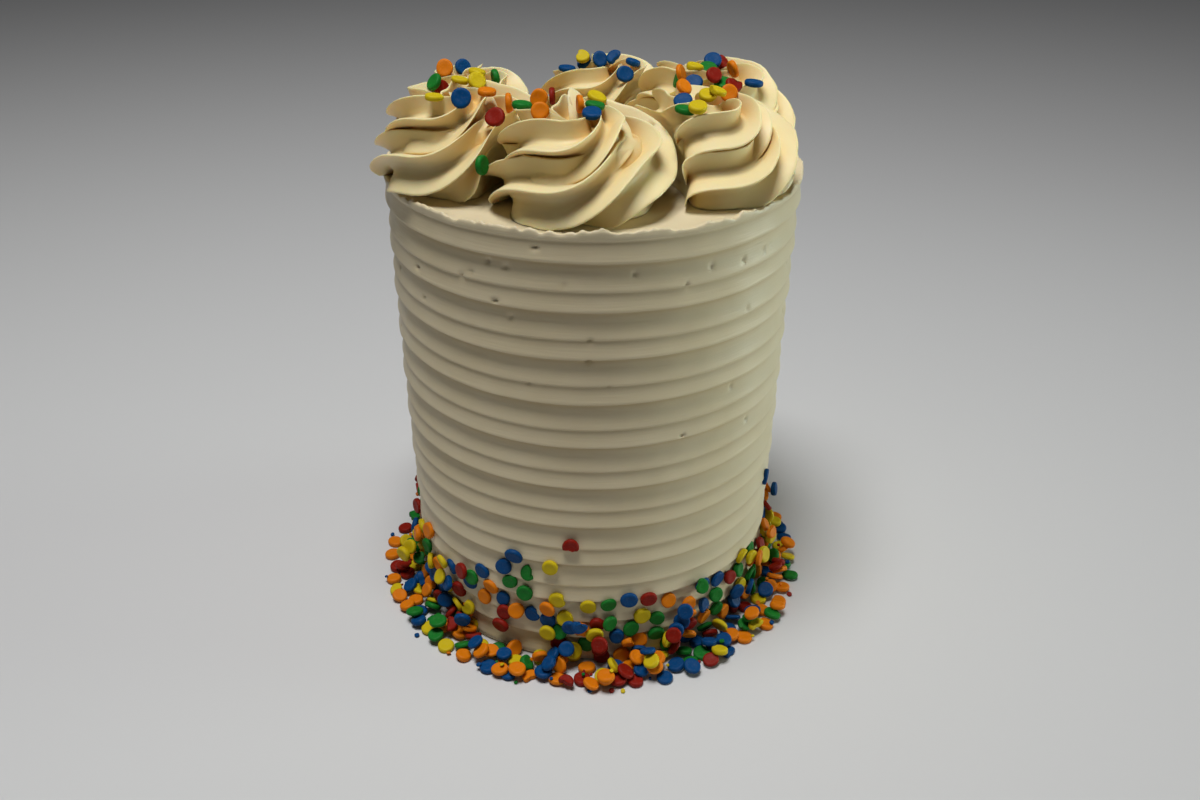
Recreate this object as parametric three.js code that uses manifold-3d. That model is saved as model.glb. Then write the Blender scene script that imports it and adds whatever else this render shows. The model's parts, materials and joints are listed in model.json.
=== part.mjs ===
// A tall round birthday cake: cream-coloured icing with a comb-ridged side, six large piped
// rosettes in a ring on top, and confetti sprinkles on the rosettes and round the foot.
// Millimetres, +Z up. The origin is the middle of the underside; -Y is the front.
import * as THREE from "three";
import { mergeVertices } from "three/addons/utils/BufferGeometryUtils.js";
import Module from "manifold-3d";

const wasm = await Module();
wasm.setup();

const radians = THREE.MathUtils.degToRad;

// ---- Driving dimensions ----------------------------------------------------------------------

// The iced body tapers slightly towards the foot.
const HEIGHT = 175;
const FOOT_RADIUS = 71.7;
const TOP_RADIUS = 75.8;
const RIM_ROUNDING = 0.4;
const BODY_SIDES = 26;

// Hand-smoothed icing wanders: the wall is not quite round, and its ridges dip on their way round.
// Each wave has so many crests a lap, and turns by a radian in so many millimetres of height.
const SWELLS = [
  { crests: 2, amplitude: 0.3, phase: 0.6, drift: Infinity },
  { crests: 3, amplitude: 0.2, phase: 0, drift: 24 },
];
const DIPS = [
  { crests: 1, amplitude: 0.5, phase: -0.5, drift: Infinity },
  { crests: 4, amplitude: 0.25, phase: 0, drift: 19 },
];
const LEVEL_EDGE = 12;

// The icing comb leaves bands like shingles: each is deepest at its top and flares out to a lip.
// In every pitch one lip stands out strongly and one weakly.
const COMB_PITCH = 17.06;
const COMB_DEPTH = 1.8;
const LOWEST_LIP = 12.2;
// One tooth of the comb, from the strong lip upwards: share of the pitch, share of the depth.
const COMB_TOOTH = [
  [0, 1],
  [0.03, 0],
  [0.43, 0.5],
  [0.455, 0.2],
];

// A rosette is one star-shaped rope of icing, coiled inwards and upwards.
const ROPE_TEETH = 6;
const ROPE_CREST = 12.6;
const ROPE_VALLEY = 5.8;
const LIP_LEAN = 8;
const LOWER_COIL = { radius: 20.5, height: 7.5 };
const UPPER_COIL = { radius: 15.5, height: 18.5 };
const COIL_END = { radius: 1.5, height: 25, size: 0.5 };
const ROPE_START = { size: 0.7, from: -0.06, to: 0.12 };
// The rope is laid in ruffles: the nozzle swings by so many degrees, so often in each lap.
const RUFFLE = { perLap: 4, swing: 14 };
const LAPS = 2.25;
const CLIMB = [0.55, 1.3];
const CLOSE_FROM = 1.5;
const STEPS_PER_LAP = 12;
const STEPS_PER_PIECE = 6;
// Below its valleys a rosette is solid icing.
const CORE = { inset: 2.2, foot: 22.5, heights: [8, 18, 24], sides: 10 };
// Each rosette's own little peak is a flat tongue that leans over, in millimetres, towards an azimuth.
const PEAK = { broad: 6.5, thin: 2.6, bottom: 22, taper: 0.55, sides: 6, levels: 2 };
// Icing that would cross the axis stays this far off it, and a little more with every lap.
const AXIS_CLEARANCE = 0.3;
// The rope is made a little too deep, and then cut level where it rests.
const BELOW_BASE = 2;
const LAP_SAMPLE = 0.05;

// Separate solids keep a gap. An older rosette is pushed out of the envelope of a newer one, with
// room for the flats between its points, and it gives way softly.
const GAP = 0.3;
const ROOM = 2.1;
const GIVE = 3.5;
const ENVELOPE = { sides: 24, top: 31, step: 3.1 };

// In the order in which they are piped: a newer rosette pushes its neighbours' sides back. The rope
// starts at one azimuth, its nozzle keeps one heading, and its lips rise steepest at the fold.
const ROSETTES = [
  {
    name: "rosette_back_left",
    place: { azimuth: 156, distance: 52 },
    rope: { size: 0.85, start: 246, heading: 20, fold: -62 },
    peak: { height: 13, lean: 8, towards: 0 },
  },
  {
    name: "rosette_back",
    place: { azimuth: 86, distance: 48 },
    rope: { size: 0.82, start: 184, heading: 30, fold: -70 },
    peak: { height: 11.5, lean: 7, towards: 0 },
  },
  {
    name: "rosette_back_right",
    place: { azimuth: 25, distance: 48 },
    rope: { size: 1, start: 100, heading: 10, fold: -98 },
    peak: { height: 5, lean: 3, towards: 0 },
  },
  {
    name: "rosette_front_right",
    place: { azimuth: -32, distance: 46 },
    rope: { size: 1, start: 60, heading: 24, fold: -38 },
    peak: { height: 5, lean: 1, towards: -100 },
  },
  {
    name: "rosette_front_left",
    place: { azimuth: 206, distance: 48.5 },
    rope: { size: 1, start: -20, heading: 15, fold: -80 },
    peak: { height: 8, lean: 5, towards: 180 },
  },
  {
    name: "rosette_front",
    place: { azimuth: -94, distance: 43.5 },
    rope: { size: 1, start: 20, heading: 32, fold: -74 },
    peak: { height: 14, lean: 7, towards: 130 },
  },
];

// Confetti sprinkles: flat pressed-sugar discs. One that is tipped shows a share of its edge.
const SPRINKLE = { radius: 3.1, thickness: 1.9, sides: 6, edgeShowing: 0.6, pressedIn: 0.5 };
const BAND = { count: 42, bottom: 5, height: 27, crowding: 1.2, tilt: 0.5, scatter: 0.06, wander: 1 };
const BARE_PATCH = { azimuth: -113, halfWidth: 13, top: 18 };
const LEANING = { count: 14, least: 0.5, most: 1.1, overlap: 0.45 };
const CHAIN = { count: 16, lengths: [3, 1, 2, 2], step: 5.2, scatter: 0.06, lift: 0.15 };
const TOPPING = { count: 4, spread: 12, tilt: 0.9, sink: 0.35, scatter: 0.4, firstShare: 0.6 };
const GOLDEN_ANGLE = Math.PI * (3 - Math.sqrt(5));
const MEAN_COMB_DEPTH = 0.4 * COMB_DEPTH;

const ICING = 0xe9dcb9;
const UP = new THREE.Vector3(0, 0, 1);
const WELD = 1e-4;
const SLIVER = 0.02;

// ---- Helpers ---------------------------------------------------------------------------------

const mix = THREE.MathUtils.lerp;
const smoothstep = THREE.MathUtils.smoothstep;

// A seeded draw between two numbers, the same in every run.
function seeded(seed) {
  let state = seed >>> 0;
  return (low, high) => {
    state = (Math.imul(state, 1664525) + 1013904223) >>> 0;
    return mix(low, high, state / 2 ** 32);
  };
}

// A closed geometry as a solid. Triangles that collapse when vertices merge are dropped.
function solidOf(geometry) {
  const bare = new THREE.BufferGeometry();
  bare.setAttribute("position", geometry.getAttribute("position"));
  bare.setIndex(geometry.getIndex());
  const merged = mergeVertices(bare, WELD);
  const corners = merged.index.array;
  const kept = [];
  for (let i = 0; i < corners.length; i += 3) {
    const [a, b, c] = corners.subarray(i, i + 3);
    if (a !== b && b !== c && c !== a) kept.push(a, b, c);
  }
  return new wasm.Manifold(
    new wasm.Mesh({
      numProp: 3,
      vertProperties: merged.getAttribute("position").array,
      triVerts: new Uint32Array(kept),
    }),
  );
}

// The solid's skin, without the slivers that joining leaves along its seams.
function geometryOf(solid) {
  const mesh = solid.simplify(SLIVER).getMesh();
  const geometry = new THREE.BufferGeometry();
  geometry.setAttribute("position", new THREE.BufferAttribute(mesh.vertProperties, 3));
  geometry.setIndex(new THREE.BufferAttribute(mesh.triVerts, 1));
  geometry.computeVertexNormals();
  return geometry;
}

// All the pieces as one solid, without the loose scraps that touch nothing.
function joined(pieces) {
  const whole = pieces.reduce((sum, piece) => sum.add(piece));
  return whole.decompose().reduce((a, b) => (a.volume() > b.volume() ? a : b));
}

// A closed skin over rings of equal point count, with a fan from its middle over each end.
function loft(rings, firstMiddle, lastMiddle) {
  const count = rings[0].length;
  const points = [...rings.flat(), firstMiddle, lastMiddle];
  const first = points.length - 2;
  const last = points.length - 1;
  const corners = [];
  for (let i = 0; i < count; i++) {
    const next = (i + 1) % count;
    for (let ring = 0; ring < rings.length - 1; ring++) {
      const a = ring * count + i;
      const b = ring * count + next;
      corners.push(a, b, b + count, a, b + count, a + count);
    }
    const end = (rings.length - 1) * count;
    corners.push(first, next, i, last, end + i, end + next);
  }
  const geometry = new THREE.BufferGeometry().setFromPoints(points);
  geometry.setIndex(corners);
  return geometry;
}

// ---- Iced body -------------------------------------------------------------------------------

const wallRadius = (z) => mix(FOOT_RADIUS, TOP_RADIUS, z / HEIGHT);

// The profile of the comb-ridged side, from the middle of the underside to that of the top.
function bodyProfile() {
  const side = [];
  for (let lip = LOWEST_LIP - COMB_PITCH; lip < HEIGHT; lip += COMB_PITCH) {
    for (const [share, depth] of COMB_TOOTH) {
      const z = lip + share * COMB_PITCH;
      if (z > COMB_DEPTH && z < HEIGHT - COMB_DEPTH) {
        side.push(new THREE.Vector2(wallRadius(z) - depth * COMB_DEPTH, z));
      }
    }
  }
  return [
    new THREE.Vector2(0, 0),
    new THREE.Vector2(FOOT_RADIUS - COMB_DEPTH, 0),
    ...side,
    new THREE.Vector2(TOP_RADIUS - RIM_ROUNDING, HEIGHT),
    new THREE.Vector2(0, HEIGHT),
  ];
}

function wander(waves, azimuth, z) {
  const heights = waves.map(
    ({ crests, amplitude, phase, drift }) => amplitude * Math.sin(crests * azimuth + phase + z / drift),
  );
  return heights.reduce((sum, height) => sum + height);
}

// The foot and the rim stay level, and the middle of the top and the underside stay in place.
function unevenWall(point) {
  const azimuth = Math.atan2(point.y, point.x);
  const swell = wander(SWELLS, azimuth, point.z) / FOOT_RADIUS;
  const aboveFoot = smoothstep(point.z, 0, LEVEL_EDGE);
  const belowRim = 1 - smoothstep(point.z, HEIGHT - LEVEL_EDGE, HEIGHT);
  const dip = wander(DIPS, azimuth, point.z) * aboveFoot * belowRim;
  return new THREE.Vector3(point.x * (1 + swell), point.y * (1 + swell), point.z + dip);
}

function mapPoints(geometry, change) {
  const position = geometry.getAttribute("position");
  for (let i = 0; i < position.count; i++) {
    const moved = change(new THREE.Vector3().fromBufferAttribute(position, i));
    position.setXYZ(i, moved.x, moved.y, moved.z);
  }
  return geometry;
}

function icedBody() {
  const turned = new THREE.LatheGeometry(bodyProfile(), BODY_SIDES).rotateX(Math.PI / 2);
  return solidOf(mapPoints(turned, unevenWall));
}

// ---- Sprinkles -------------------------------------------------------------------------------

// One disc, its flat faces square to the given axis.
function sprinkle(middle, axis) {
  const { radius, thickness, sides } = SPRINKLE;
  const disc = new THREE.CylinderGeometry(radius, radius, thickness, sides);
  const turn = new THREE.Quaternion().setFromUnitVectors(new THREE.Vector3(0, 1, 0), axis);
  disc.applyQuaternion(turn).translate(middle.x, middle.y, middle.z);
  return solidOf(disc);
}

const outward = (azimuth) => new THREE.Vector3(Math.cos(azimuth), Math.sin(azimuth), 0);

// A direction tipped by up to the given angle, in radians, towards a drawn side.
function tipped(direction, most, draw) {
  const side = new THREE.Vector3(draw(-1, 1), draw(-1, 1), draw(-1, 1)).cross(direction).normalize();
  return direction.clone().applyAxisAngle(side, draw(0, most));
}

// How far the middle of a tipped disc stands off the surface that it is pressed into.
function standOff(axis, normal) {
  const { radius, thickness, edgeShowing, pressedIn } = SPRINKLE;
  const flat = Math.abs(axis.dot(normal));
  const upright = Math.sqrt(1 - flat * flat);
  return (thickness / 2) * flat + radius * upright * edgeShowing - pressedIn;
}

// Discs pressed into the side, spread by the golden angle and closest together at the foot.
function bandSprinkles() {
  const draw = seeded(8);
  const discs = [];
  for (let i = 0; i < BAND.count; i++) {
    const azimuth = i * GOLDEN_ANGLE + draw(-BAND.scatter, BAND.scatter);
    const climbed = BAND.height * (i / BAND.count) ** BAND.crowding;
    const z = BAND.bottom + climbed + draw(-BAND.wander, BAND.wander);
    const normal = outward(azimuth);
    const axis = tipped(normal, BAND.tilt, draw);
    const bare = radians(BARE_PATCH.azimuth) - azimuth;
    const offBare = Math.abs(Math.atan2(Math.sin(bare), Math.cos(bare)));
    const inPatch = offBare < radians(BARE_PATCH.halfWidth) && z < BARE_PATCH.top;
    const reach = wallRadius(z) - MEAN_COMB_DEPTH + standOff(axis, normal);
    if (!inPatch) discs.push(sprinkle(normal.multiplyScalar(reach).setZ(z), axis));
  }
  return discs;
}

// Discs that lean on the wall at the foot, each between two of the chains that lie flat.
function leaningSprinkles() {
  const draw = seeded(11);
  const { radius, thickness } = SPRINKLE;
  const discs = [];
  for (let i = 0; i < LEANING.count; i++) {
    const side = outward(((i + 0.5) / LEANING.count) * 2 * Math.PI);
    const lean = draw(LEANING.least, LEANING.most);
    const axis = UP.clone().multiplyScalar(Math.cos(lean)).addScaledVector(side, Math.sin(lean));
    const reach = FOOT_RADIUS - COMB_DEPTH + radius * Math.cos(lean) * LEANING.overlap;
    const z = radius * Math.sin(lean) + (thickness / 2) * Math.cos(lean) + CHAIN.lift;
    discs.push(sprinkle(side.multiplyScalar(reach).setZ(z), axis));
  }
  return discs;
}

// The heap at the foot: short chains of flat discs that run out from the wall, each disc touching
// the next. The longest chains point along the axes, so that the heap is centred.
function flatSprinkles() {
  const draw = seeded(13);
  const { radius, thickness } = SPRINKLE;
  const discs = [];
  for (let i = 0; i < CHAIN.count; i++) {
    const kind = i % CHAIN.lengths.length;
    const drift = kind === 0 ? 0 : draw(-CHAIN.scatter, CHAIN.scatter);
    const side = outward((i / CHAIN.count) * 2 * Math.PI + drift);
    for (let link = 0; link < CHAIN.lengths[kind]; link++) {
      const reach = FOOT_RADIUS - COMB_DEPTH + radius * LEANING.overlap + link * CHAIN.step;
      discs.push(sprinkle(side.clone().multiplyScalar(reach).setZ(thickness / 2 + CHAIN.lift), UP));
    }
  }
  return discs;
}

// ---- Rosettes --------------------------------------------------------------------------------

// Where the middle of the rope is after so many laps, and how full the rope is there.
function ropeAt(lap) {
  const climb = smoothstep(lap, CLIMB[0], CLIMB[1]);
  const close = smoothstep(lap, CLOSE_FROM, LAPS);
  const start = smoothstep(lap, ROPE_START.from, ROPE_START.to);
  const radius = mix(mix(LOWER_COIL.radius, UPPER_COIL.radius, climb), COIL_END.radius, close);
  const height = mix(mix(LOWER_COIL.height, UPPER_COIL.height, climb), COIL_END.height, close);
  return { radius, height, size: mix(ROPE_START.size, 1, start) * mix(1, COIL_END.size, close) };
}

// How far a round rope coiled like this reaches from the rosette's axis, at a height above its base.
function coilReach(z, ropeRadius) {
  let most = 0;
  for (let lap = 0; lap <= LAPS; lap += LAP_SAMPLE) {
    const rope = ropeAt(lap);
    const full = ropeRadius * rope.size;
    const above = Math.max(0, z - rope.height) / full;
    if (above < 1) most = Math.max(most, rope.radius + full * Math.sqrt(1 - above * above));
  }
  return most;
}

const rosetteReach = ({ rope }, z) => rope.size * coilReach(z / rope.size, ROPE_CREST);

const rosetteMiddle = ({ place }) => outward(radians(place.azimuth)).multiplyScalar(place.distance);

// The envelope of a rosette: the space that older icing keeps out of, with the gap round it.
function envelopeSolid(rosette) {
  const widened = 1 / Math.cos(Math.PI / ENVELOPE.sides);
  const profile = [new THREE.Vector2(0, -GAP)];
  for (let z = -GAP; z < ENVELOPE.top; z += ENVELOPE.step) {
    profile.push(new THREE.Vector2((rosetteReach(rosette, z) + GAP) * widened, z));
  }
  profile.push(new THREE.Vector2(0, ENVELOPE.top));
  const turned = new THREE.LatheGeometry(profile, ENVELOPE.sides).rotateX(Math.PI / 2);
  const base = rosetteMiddle(rosette).setZ(HEIGHT + GAP);
  return solidOf(turned.translate(base.x, base.y, base.z));
}

// A point pushed out of every newer rosette, as soft icing gives way.
function giveWay(point, newer) {
  const moved = point.clone();
  for (const rosette of newer) {
    const from = moved.clone().sub(rosetteMiddle(rosette)).setZ(0);
    const distance = from.length();
    const limit = rosetteReach(rosette, moved.z - HEIGHT - GAP) + ROOM;
    if (limit > ROOM) {
      const pushed = limit + GIVE * Math.log1p(Math.exp((distance - limit) / GIVE));
      moved.addScaledVector(from, (pushed - distance) / distance);
    }
  }
  return moved;
}

// One section of the rope: crests and valleys in the upright plane through the rosette's axis.
// The nozzle keeps its heading while it circles, so each crest runs round the rope once a lap.
function ropeSection({ start, heading, fold }, lap, place) {
  const rope = ropeAt(lap);
  const turned = radians(start) + lap * 2 * Math.PI;
  const ruffle = RUFFLE.swing * Math.sin(RUFFLE.perLap * (turned - radians(fold)));
  const facing = radians(heading - ruffle);
  const corner = (distance, height) => {
    const level = Math.max(-BELOW_BASE, height);
    const out = Math.max(AXIS_CLEARANCE * (1 + lap), distance);
    return place(outward(turned).multiplyScalar(out).setZ(level));
  };
  const ring = [];
  for (let i = 0; i < 2 * ROPE_TEETH; i++) {
    const crest = i % 2 === 0;
    const angle = turned - facing - (i * Math.PI) / ROPE_TEETH - (crest ? radians(LIP_LEAN) : 0);
    const reach = (crest ? ROPE_CREST : ROPE_VALLEY) * rope.size;
    ring.push(corner(rope.radius + reach * Math.cos(angle), rope.height + reach * Math.sin(angle)));
  }
  return { ring, middle: corner(rope.radius, rope.height) };
}

// The little peak where the nozzle is pulled away: a flat tongue, broad across its lean.
function peakSolid({ height, lean, towards }, place) {
  const along = outward(radians(towards));
  const across = outward(radians(towards + 90));
  const middleAt = (share) =>
    along.clone().multiplyScalar(lean * share ** 2).setZ(PEAK.bottom + height * share);
  const rings = [];
  for (let level = 0; level < PEAK.levels; level++) {
    const share = level / PEAK.levels;
    const reach = (1 - share) ** PEAK.taper;
    const ring = [];
    for (let i = 0; i < PEAK.sides; i++) {
      const around = (i * 2 * Math.PI) / PEAK.sides;
      const corner = middleAt(share).addScaledVector(along, PEAK.thin * reach * Math.cos(around));
      ring.push(place(corner.addScaledVector(across, PEAK.broad * reach * Math.sin(around))));
    }
    rings.push(ring);
  }
  return solidOf(loft(rings, place(middleAt(0)), place(middleAt(1))));
}

// The icing inside the coil, filled up to just below the rope's valleys, and narrow at its foot.
function coreSolid(place) {
  const side = CORE.heights.map((z) => new THREE.Vector2(coilReach(z, ROPE_VALLEY - CORE.inset), z));
  const bottom = [new THREE.Vector2(0, -1), new THREE.Vector2(CORE.foot, -1)];
  const profile = [...bottom, ...side, new THREE.Vector2(0, CORE.heights.at(-1) + 1)];
  const turned = new THREE.LatheGeometry(profile, CORE.sides).rotateX(Math.PI / 2);
  return solidOf(mapPoints(turned, place));
}

function pipedRosette(rosette, newer) {
  const base = rosetteMiddle(rosette).setZ(HEIGHT + GAP);
  const place = (point) => giveWay(point.multiplyScalar(rosette.rope.size).add(base), newer);
  const pieces = [];
  const steps = Math.round(LAPS * STEPS_PER_LAP);
  for (let first = 0; first < steps; first += STEPS_PER_PIECE) {
    const last = Math.min(first + STEPS_PER_PIECE, steps);
    const sections = [];
    for (let step = first; step <= last; step++) {
      sections.push(ropeSection(rosette.rope, step / STEPS_PER_LAP, place));
    }
    const rings = sections.map((section) => section.ring);
    pieces.push(solidOf(loft(rings, sections[0].middle, sections.at(-1).middle)));
  }
  const icing = joined([coreSolid(place), ...pieces, peakSolid(rosette.peak, place)]);
  const level = icing.trimByPlane([0, 0, 1], base.z);
  return newer.reduce((rest, other) => rest.subtract(envelopeSolid(other)), level);
}

// Sprinkles dropped on a rosette's middle, each seated on the icing straight below it.
function toppingSprinkles(rosette, icing, seed) {
  const draw = seeded(seed);
  const surface = new THREE.Mesh(geometryOf(icing));
  const middle = rosetteMiddle(rosette);
  const discs = [];
  for (let i = 0; i < TOPPING.count; i++) {
    const azimuth = i * GOLDEN_ANGLE + draw(-TOPPING.scatter, TOPPING.scatter);
    const spread = TOPPING.spread * rosette.rope.size;
    const distance = spread * Math.sqrt((i + TOPPING.firstShare) / TOPPING.count);
    const above = outward(azimuth).multiplyScalar(distance).add(middle).setZ(2 * HEIGHT);
    const [hit] = new THREE.Raycaster(above, UP.clone().negate()).intersectObject(surface);
    const axis = tipped(hit.face.normal, TOPPING.tilt, draw);
    const lift = standOff(axis, hit.face.normal) - TOPPING.sink;
    discs.push(sprinkle(hit.point.addScaledVector(hit.face.normal, lift), axis));
  }
  return discs;
}

// ---- Assembly --------------------------------------------------------------------------------

function icingMesh(name, solid) {
  const material = new THREE.MeshStandardMaterial({ color: ICING, roughness: 0.5, metalness: 0 });
  const mesh = new THREE.Mesh(geometryOf(solid), material);
  mesh.name = name;
  return mesh;
}

const cake = new THREE.Group();
const foot = [...bandSprinkles(), ...leaningSprinkles(), ...flatSprinkles()];
cake.add(icingMesh("cake", joined([icedBody(), ...foot])));
ROSETTES.forEach((rosette, i) => {
  const icing = pipedRosette(rosette, ROSETTES.slice(i + 1));
  const whole = joined([icing, ...toppingSprinkles(rosette, icing, i + 1)]);
  cake.add(icingMesh(rosette.name, whole));
});

export default cake;
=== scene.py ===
# %% [markdown]
# # A tall birthday cake with piped rosettes
# The real cake is about 21 cm tall: a round cake under cream-coloured buttercream, combed into
# ridges all round its side, with a ring of six large piped rosettes on top and pressed-sugar
# confetti round its foot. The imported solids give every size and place, so this lesson only
# dresses them: each step makes the fine surface of one piece, and puts it where its solid is.

# %% Load the solids that everything is fitted to
import json
import math
import bpy
import numpy as np
from mathutils import Matrix, Vector, noise
from mathutils.bvhtree import BVHTree

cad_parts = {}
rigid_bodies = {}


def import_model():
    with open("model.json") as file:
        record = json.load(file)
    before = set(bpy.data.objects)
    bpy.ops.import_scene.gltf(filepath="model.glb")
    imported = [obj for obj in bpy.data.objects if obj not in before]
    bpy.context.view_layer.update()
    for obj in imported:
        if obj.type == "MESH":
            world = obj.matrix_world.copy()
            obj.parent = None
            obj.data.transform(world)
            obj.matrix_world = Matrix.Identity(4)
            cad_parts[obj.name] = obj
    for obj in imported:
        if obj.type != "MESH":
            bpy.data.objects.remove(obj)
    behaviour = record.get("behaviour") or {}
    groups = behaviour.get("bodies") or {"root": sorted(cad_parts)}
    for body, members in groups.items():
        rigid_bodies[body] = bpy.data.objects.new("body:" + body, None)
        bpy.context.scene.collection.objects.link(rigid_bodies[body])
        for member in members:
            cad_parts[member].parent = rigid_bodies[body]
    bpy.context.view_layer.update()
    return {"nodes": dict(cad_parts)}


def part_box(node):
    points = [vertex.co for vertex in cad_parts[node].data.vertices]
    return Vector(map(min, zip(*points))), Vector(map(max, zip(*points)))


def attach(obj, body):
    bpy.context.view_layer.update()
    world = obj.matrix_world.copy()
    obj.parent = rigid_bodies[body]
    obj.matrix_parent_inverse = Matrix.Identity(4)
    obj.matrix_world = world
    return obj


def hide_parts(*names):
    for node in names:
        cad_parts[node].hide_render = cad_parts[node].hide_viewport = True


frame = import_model()
MM = 0.001
print("solids:", sorted(frame["nodes"]))

# %% [markdown]
# ## A few small tools
# Everything below is worked out in millimetres with numpy, because a whole ring of points can be
# moved in one line, and only the finished mesh is scaled to Blender's metres. Smooth steps blend
# one form into the next, and soft noise keeps hand-made icing from looking machined. Modifiers
# could do much of this, but a formula can be read, and it gives the same mesh on every run.

# %% Blending and noise
UP = np.array([0.0, 0.0, 1.0])


def mix(a, b, share):
    return a + (b - a) * share


def smoothstep(value, low, high):
    share = np.clip((value - low) / (high - low), 0, 1)
    return share * share * (3 - 2 * share)


def lumps(points, size, seed=0):
    """Soft noise from about -1 to 1 at each point, in lumps of about the given size in mm."""
    shift = Vector((31.7, 17.3, 7.9)) * seed
    flat = np.asarray(points, float).reshape(-1, 3) / size
    values = [noise.noise(Vector(point) + shift) for point in flat]
    return np.array(values).reshape(np.shape(points)[:-1])


def outward(azimuth):
    """Unit vectors in the horizontal plane at these angles, in radians."""
    azimuth = np.asarray(azimuth, float)
    return np.stack([np.cos(azimuth), np.sin(azimuth), np.zeros_like(azimuth)], -1)


print("a smooth step from 0 to 4, quarter by quarter:", smoothstep(np.arange(5), 0, 4))

# %% Meshes from rings of points
def ring_faces(rows, columns):
    """Quads between rings of points, each ring closed on itself, facing out when it rises."""
    row = np.arange(rows - 1)[:, None] * columns
    here = np.arange(columns)[None, :]
    after = (here + 1) % columns
    quads = np.stack([row + here, row + after, row + columns + after, row + columns + here], -1)
    return quads.reshape(-1, 4).tolist()


def closed_rings(rings, first_middle, last_middle):
    """Points and faces of a skin over stacked rings, with a fan from a middle point at each end."""
    rows, columns = rings.shape[:2]
    points = np.concatenate([rings.reshape(-1, 3), [first_middle, last_middle]])
    first, last, end = rows * columns, rows * columns + 1, (rows - 1) * columns
    faces = ring_faces(rows, columns)
    for here in range(columns):
        after = (here + 1) % columns
        faces.append([first, after, here])
        faces.append([last, end + here, end + after])
    return points, faces


def mesh_object(name, points, faces, material=None):
    """A smooth-shaded object in the scene, from points in millimetres."""
    mesh = bpy.data.meshes.new(name)
    mesh.from_pydata((np.asarray(points) * MM).tolist(), [], faces)
    mesh.polygons.foreach_set("use_smooth", [True] * len(mesh.polygons))
    if material:
        mesh.materials.append(material)
    made = bpy.data.objects.new(name, mesh)
    bpy.context.scene.collection.objects.link(made)
    return made


print("faces between two rings of eight points:", len(ring_faces(2, 8)))

# %% [markdown]
# ## Buttercream
# American buttercream is butter beaten with fine sugar: a pale cream fat full of tiny air
# bubbles. Light enters it and comes out warmer a few millimetres away, which is why its hollows
# glow amber while its ridges stay pale, so the finish needs real subsurface scattering and not
# just a yellow colour. Its skin is satin: smooth where the spatula or nozzle pressed it, with a
# faint grain of sugar. The colour is written as the hex value that a painter would pick, and one
# function turns it to the linear light that the renderer works in.

# %% Colour and node helpers
def linear(colour):
    """A #RRGGBB colour as linear red, green, blue and alpha."""
    channels = [int(colour[i : i + 2], 16) / 255 for i in (1, 3, 5)]
    return (*[c / 12.92 if c <= 0.04045 else ((c + 0.055) / 1.055) ** 2.4 for c in channels], 1)


def node(tree, kind, inputs=None, **settings):
    """A shader node with its settings; an input that is given a socket is linked to it."""
    made = tree.nodes.new(kind)
    for name, value in settings.items():
        setattr(made, name, value)
    for name, value in (inputs or {}).items():
        if isinstance(value, bpy.types.NodeSocket):
            tree.links.new(value, made.inputs[name])
        else:
            made.inputs[name].default_value = value
    return made


def new_material(name):
    made = bpy.data.materials.new(name)
    made.use_nodes = True
    return made, made.node_tree, made.node_tree.nodes["Principled BSDF"]


def per_mm(size):
    """The scale that gives a texture features of this size in millimetres."""
    return 1 / (size * MM)


print("middle grey, #808080, as linear light:", round(linear("#808080")[0], 3))

# %% The two buttercream finishes
# The two colours of the mottle, and a darker, warmer colour: painted shade deep in a fold and under
# a lip, warm like light that has passed more icing.
COMBED_CREAM_AND_SHADE_HEX = ("#DCCEAE", "#D2C29C", "#A48957")
PIPED_CREAM_AND_SHADE_HEX = ("#EADCAE", "#E2D09A", "#D6AC60")
# How much of the light goes in and comes out again, and how far it travels, in millimetres. Red
# goes farthest through the fat and blue least, which is what makes thin lips glow.
COMBED_SCATTER = (0.12, 0.5)
PIPED_SCATTER = (0.5, 1.8)
SCATTER_RGB = (1.0, 0.62, 0.3)
# Beaten fat is pale in some places and darker in others, about as wide as two fingers.
MOTTLE_MM = 22
# Icing sugar is finer than 0.05 mm. Its grain is drawn ten times as coarse, so that it shows.
SUGAR_GRAIN_MM = 0.55
COMBED_GRAIN_HEIGHT, PIPED_GRAIN_HEIGHT = 0.02, 0.05
# The comb's edge leaves long level lines: across the level plane the noise has only this share of
# its scale in height, which stretches it.
DRAG_LINE_MM = 0.7
DRAG_STRETCH = 0.04
COMBED_DRAG_HEIGHT = 0.1
# Satin: roughness at both ends of the mottle. Butter fat bends light a little less than glass.
SATIN = (0.36, 0.5)
FAT_IOR = 1.45
FAT_SPECULAR = 0.4


def cream_with_painted_shade(tree, mottle, colours):
    """Two creams in a mottle, and a third, darker one painted as shade in folds and under lips."""
    cream = node(
        tree,
        "ShaderNodeMix",
        {"Factor": mottle, 6: linear(colours[0]), 7: linear(colours[1])},
        data_type="RGBA",
    ).outputs[2]
    # Painted shade: the share of the darker fold colour, kept on the mesh.
    painted_shade = node(tree, "ShaderNodeAttribute", attribute_name="painted_shade").outputs["Fac"]
    return node(
        tree,
        "ShaderNodeMix",
        {"Factor": painted_shade, 6: cream, 7: linear(colours[2])},
        data_type="RGBA",
    ).outputs[2]


def cream_relief(tree, place, grain_height, drag_height):
    """The grain of sugar, and the level lines where a comb dragged, as a bumped normal."""
    grain = node(
        tree,
        "ShaderNodeTexNoise",
        {"Vector": place, "Scale": per_mm(SUGAR_GRAIN_MM), "Detail": 2},
    ).outputs["Fac"]
    level = node(
        tree, "ShaderNodeMapping", {"Vector": place, "Scale": (DRAG_STRETCH, DRAG_STRETCH, 1)}
    ).outputs["Vector"]
    drag = node(
        tree, "ShaderNodeTexNoise", {"Vector": level, "Scale": per_mm(DRAG_LINE_MM), "Detail": 2}
    ).outputs["Fac"]
    grained = node(
        tree,
        "ShaderNodeBump",
        {"Height": grain, "Strength": 1.0, "Distance": grain_height * MM},
    ).outputs["Normal"]
    return node(
        tree,
        "ShaderNodeBump",
        {"Height": drag, "Strength": 1.0, "Distance": drag_height * MM, "Normal": grained},
    ).outputs["Normal"]


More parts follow.
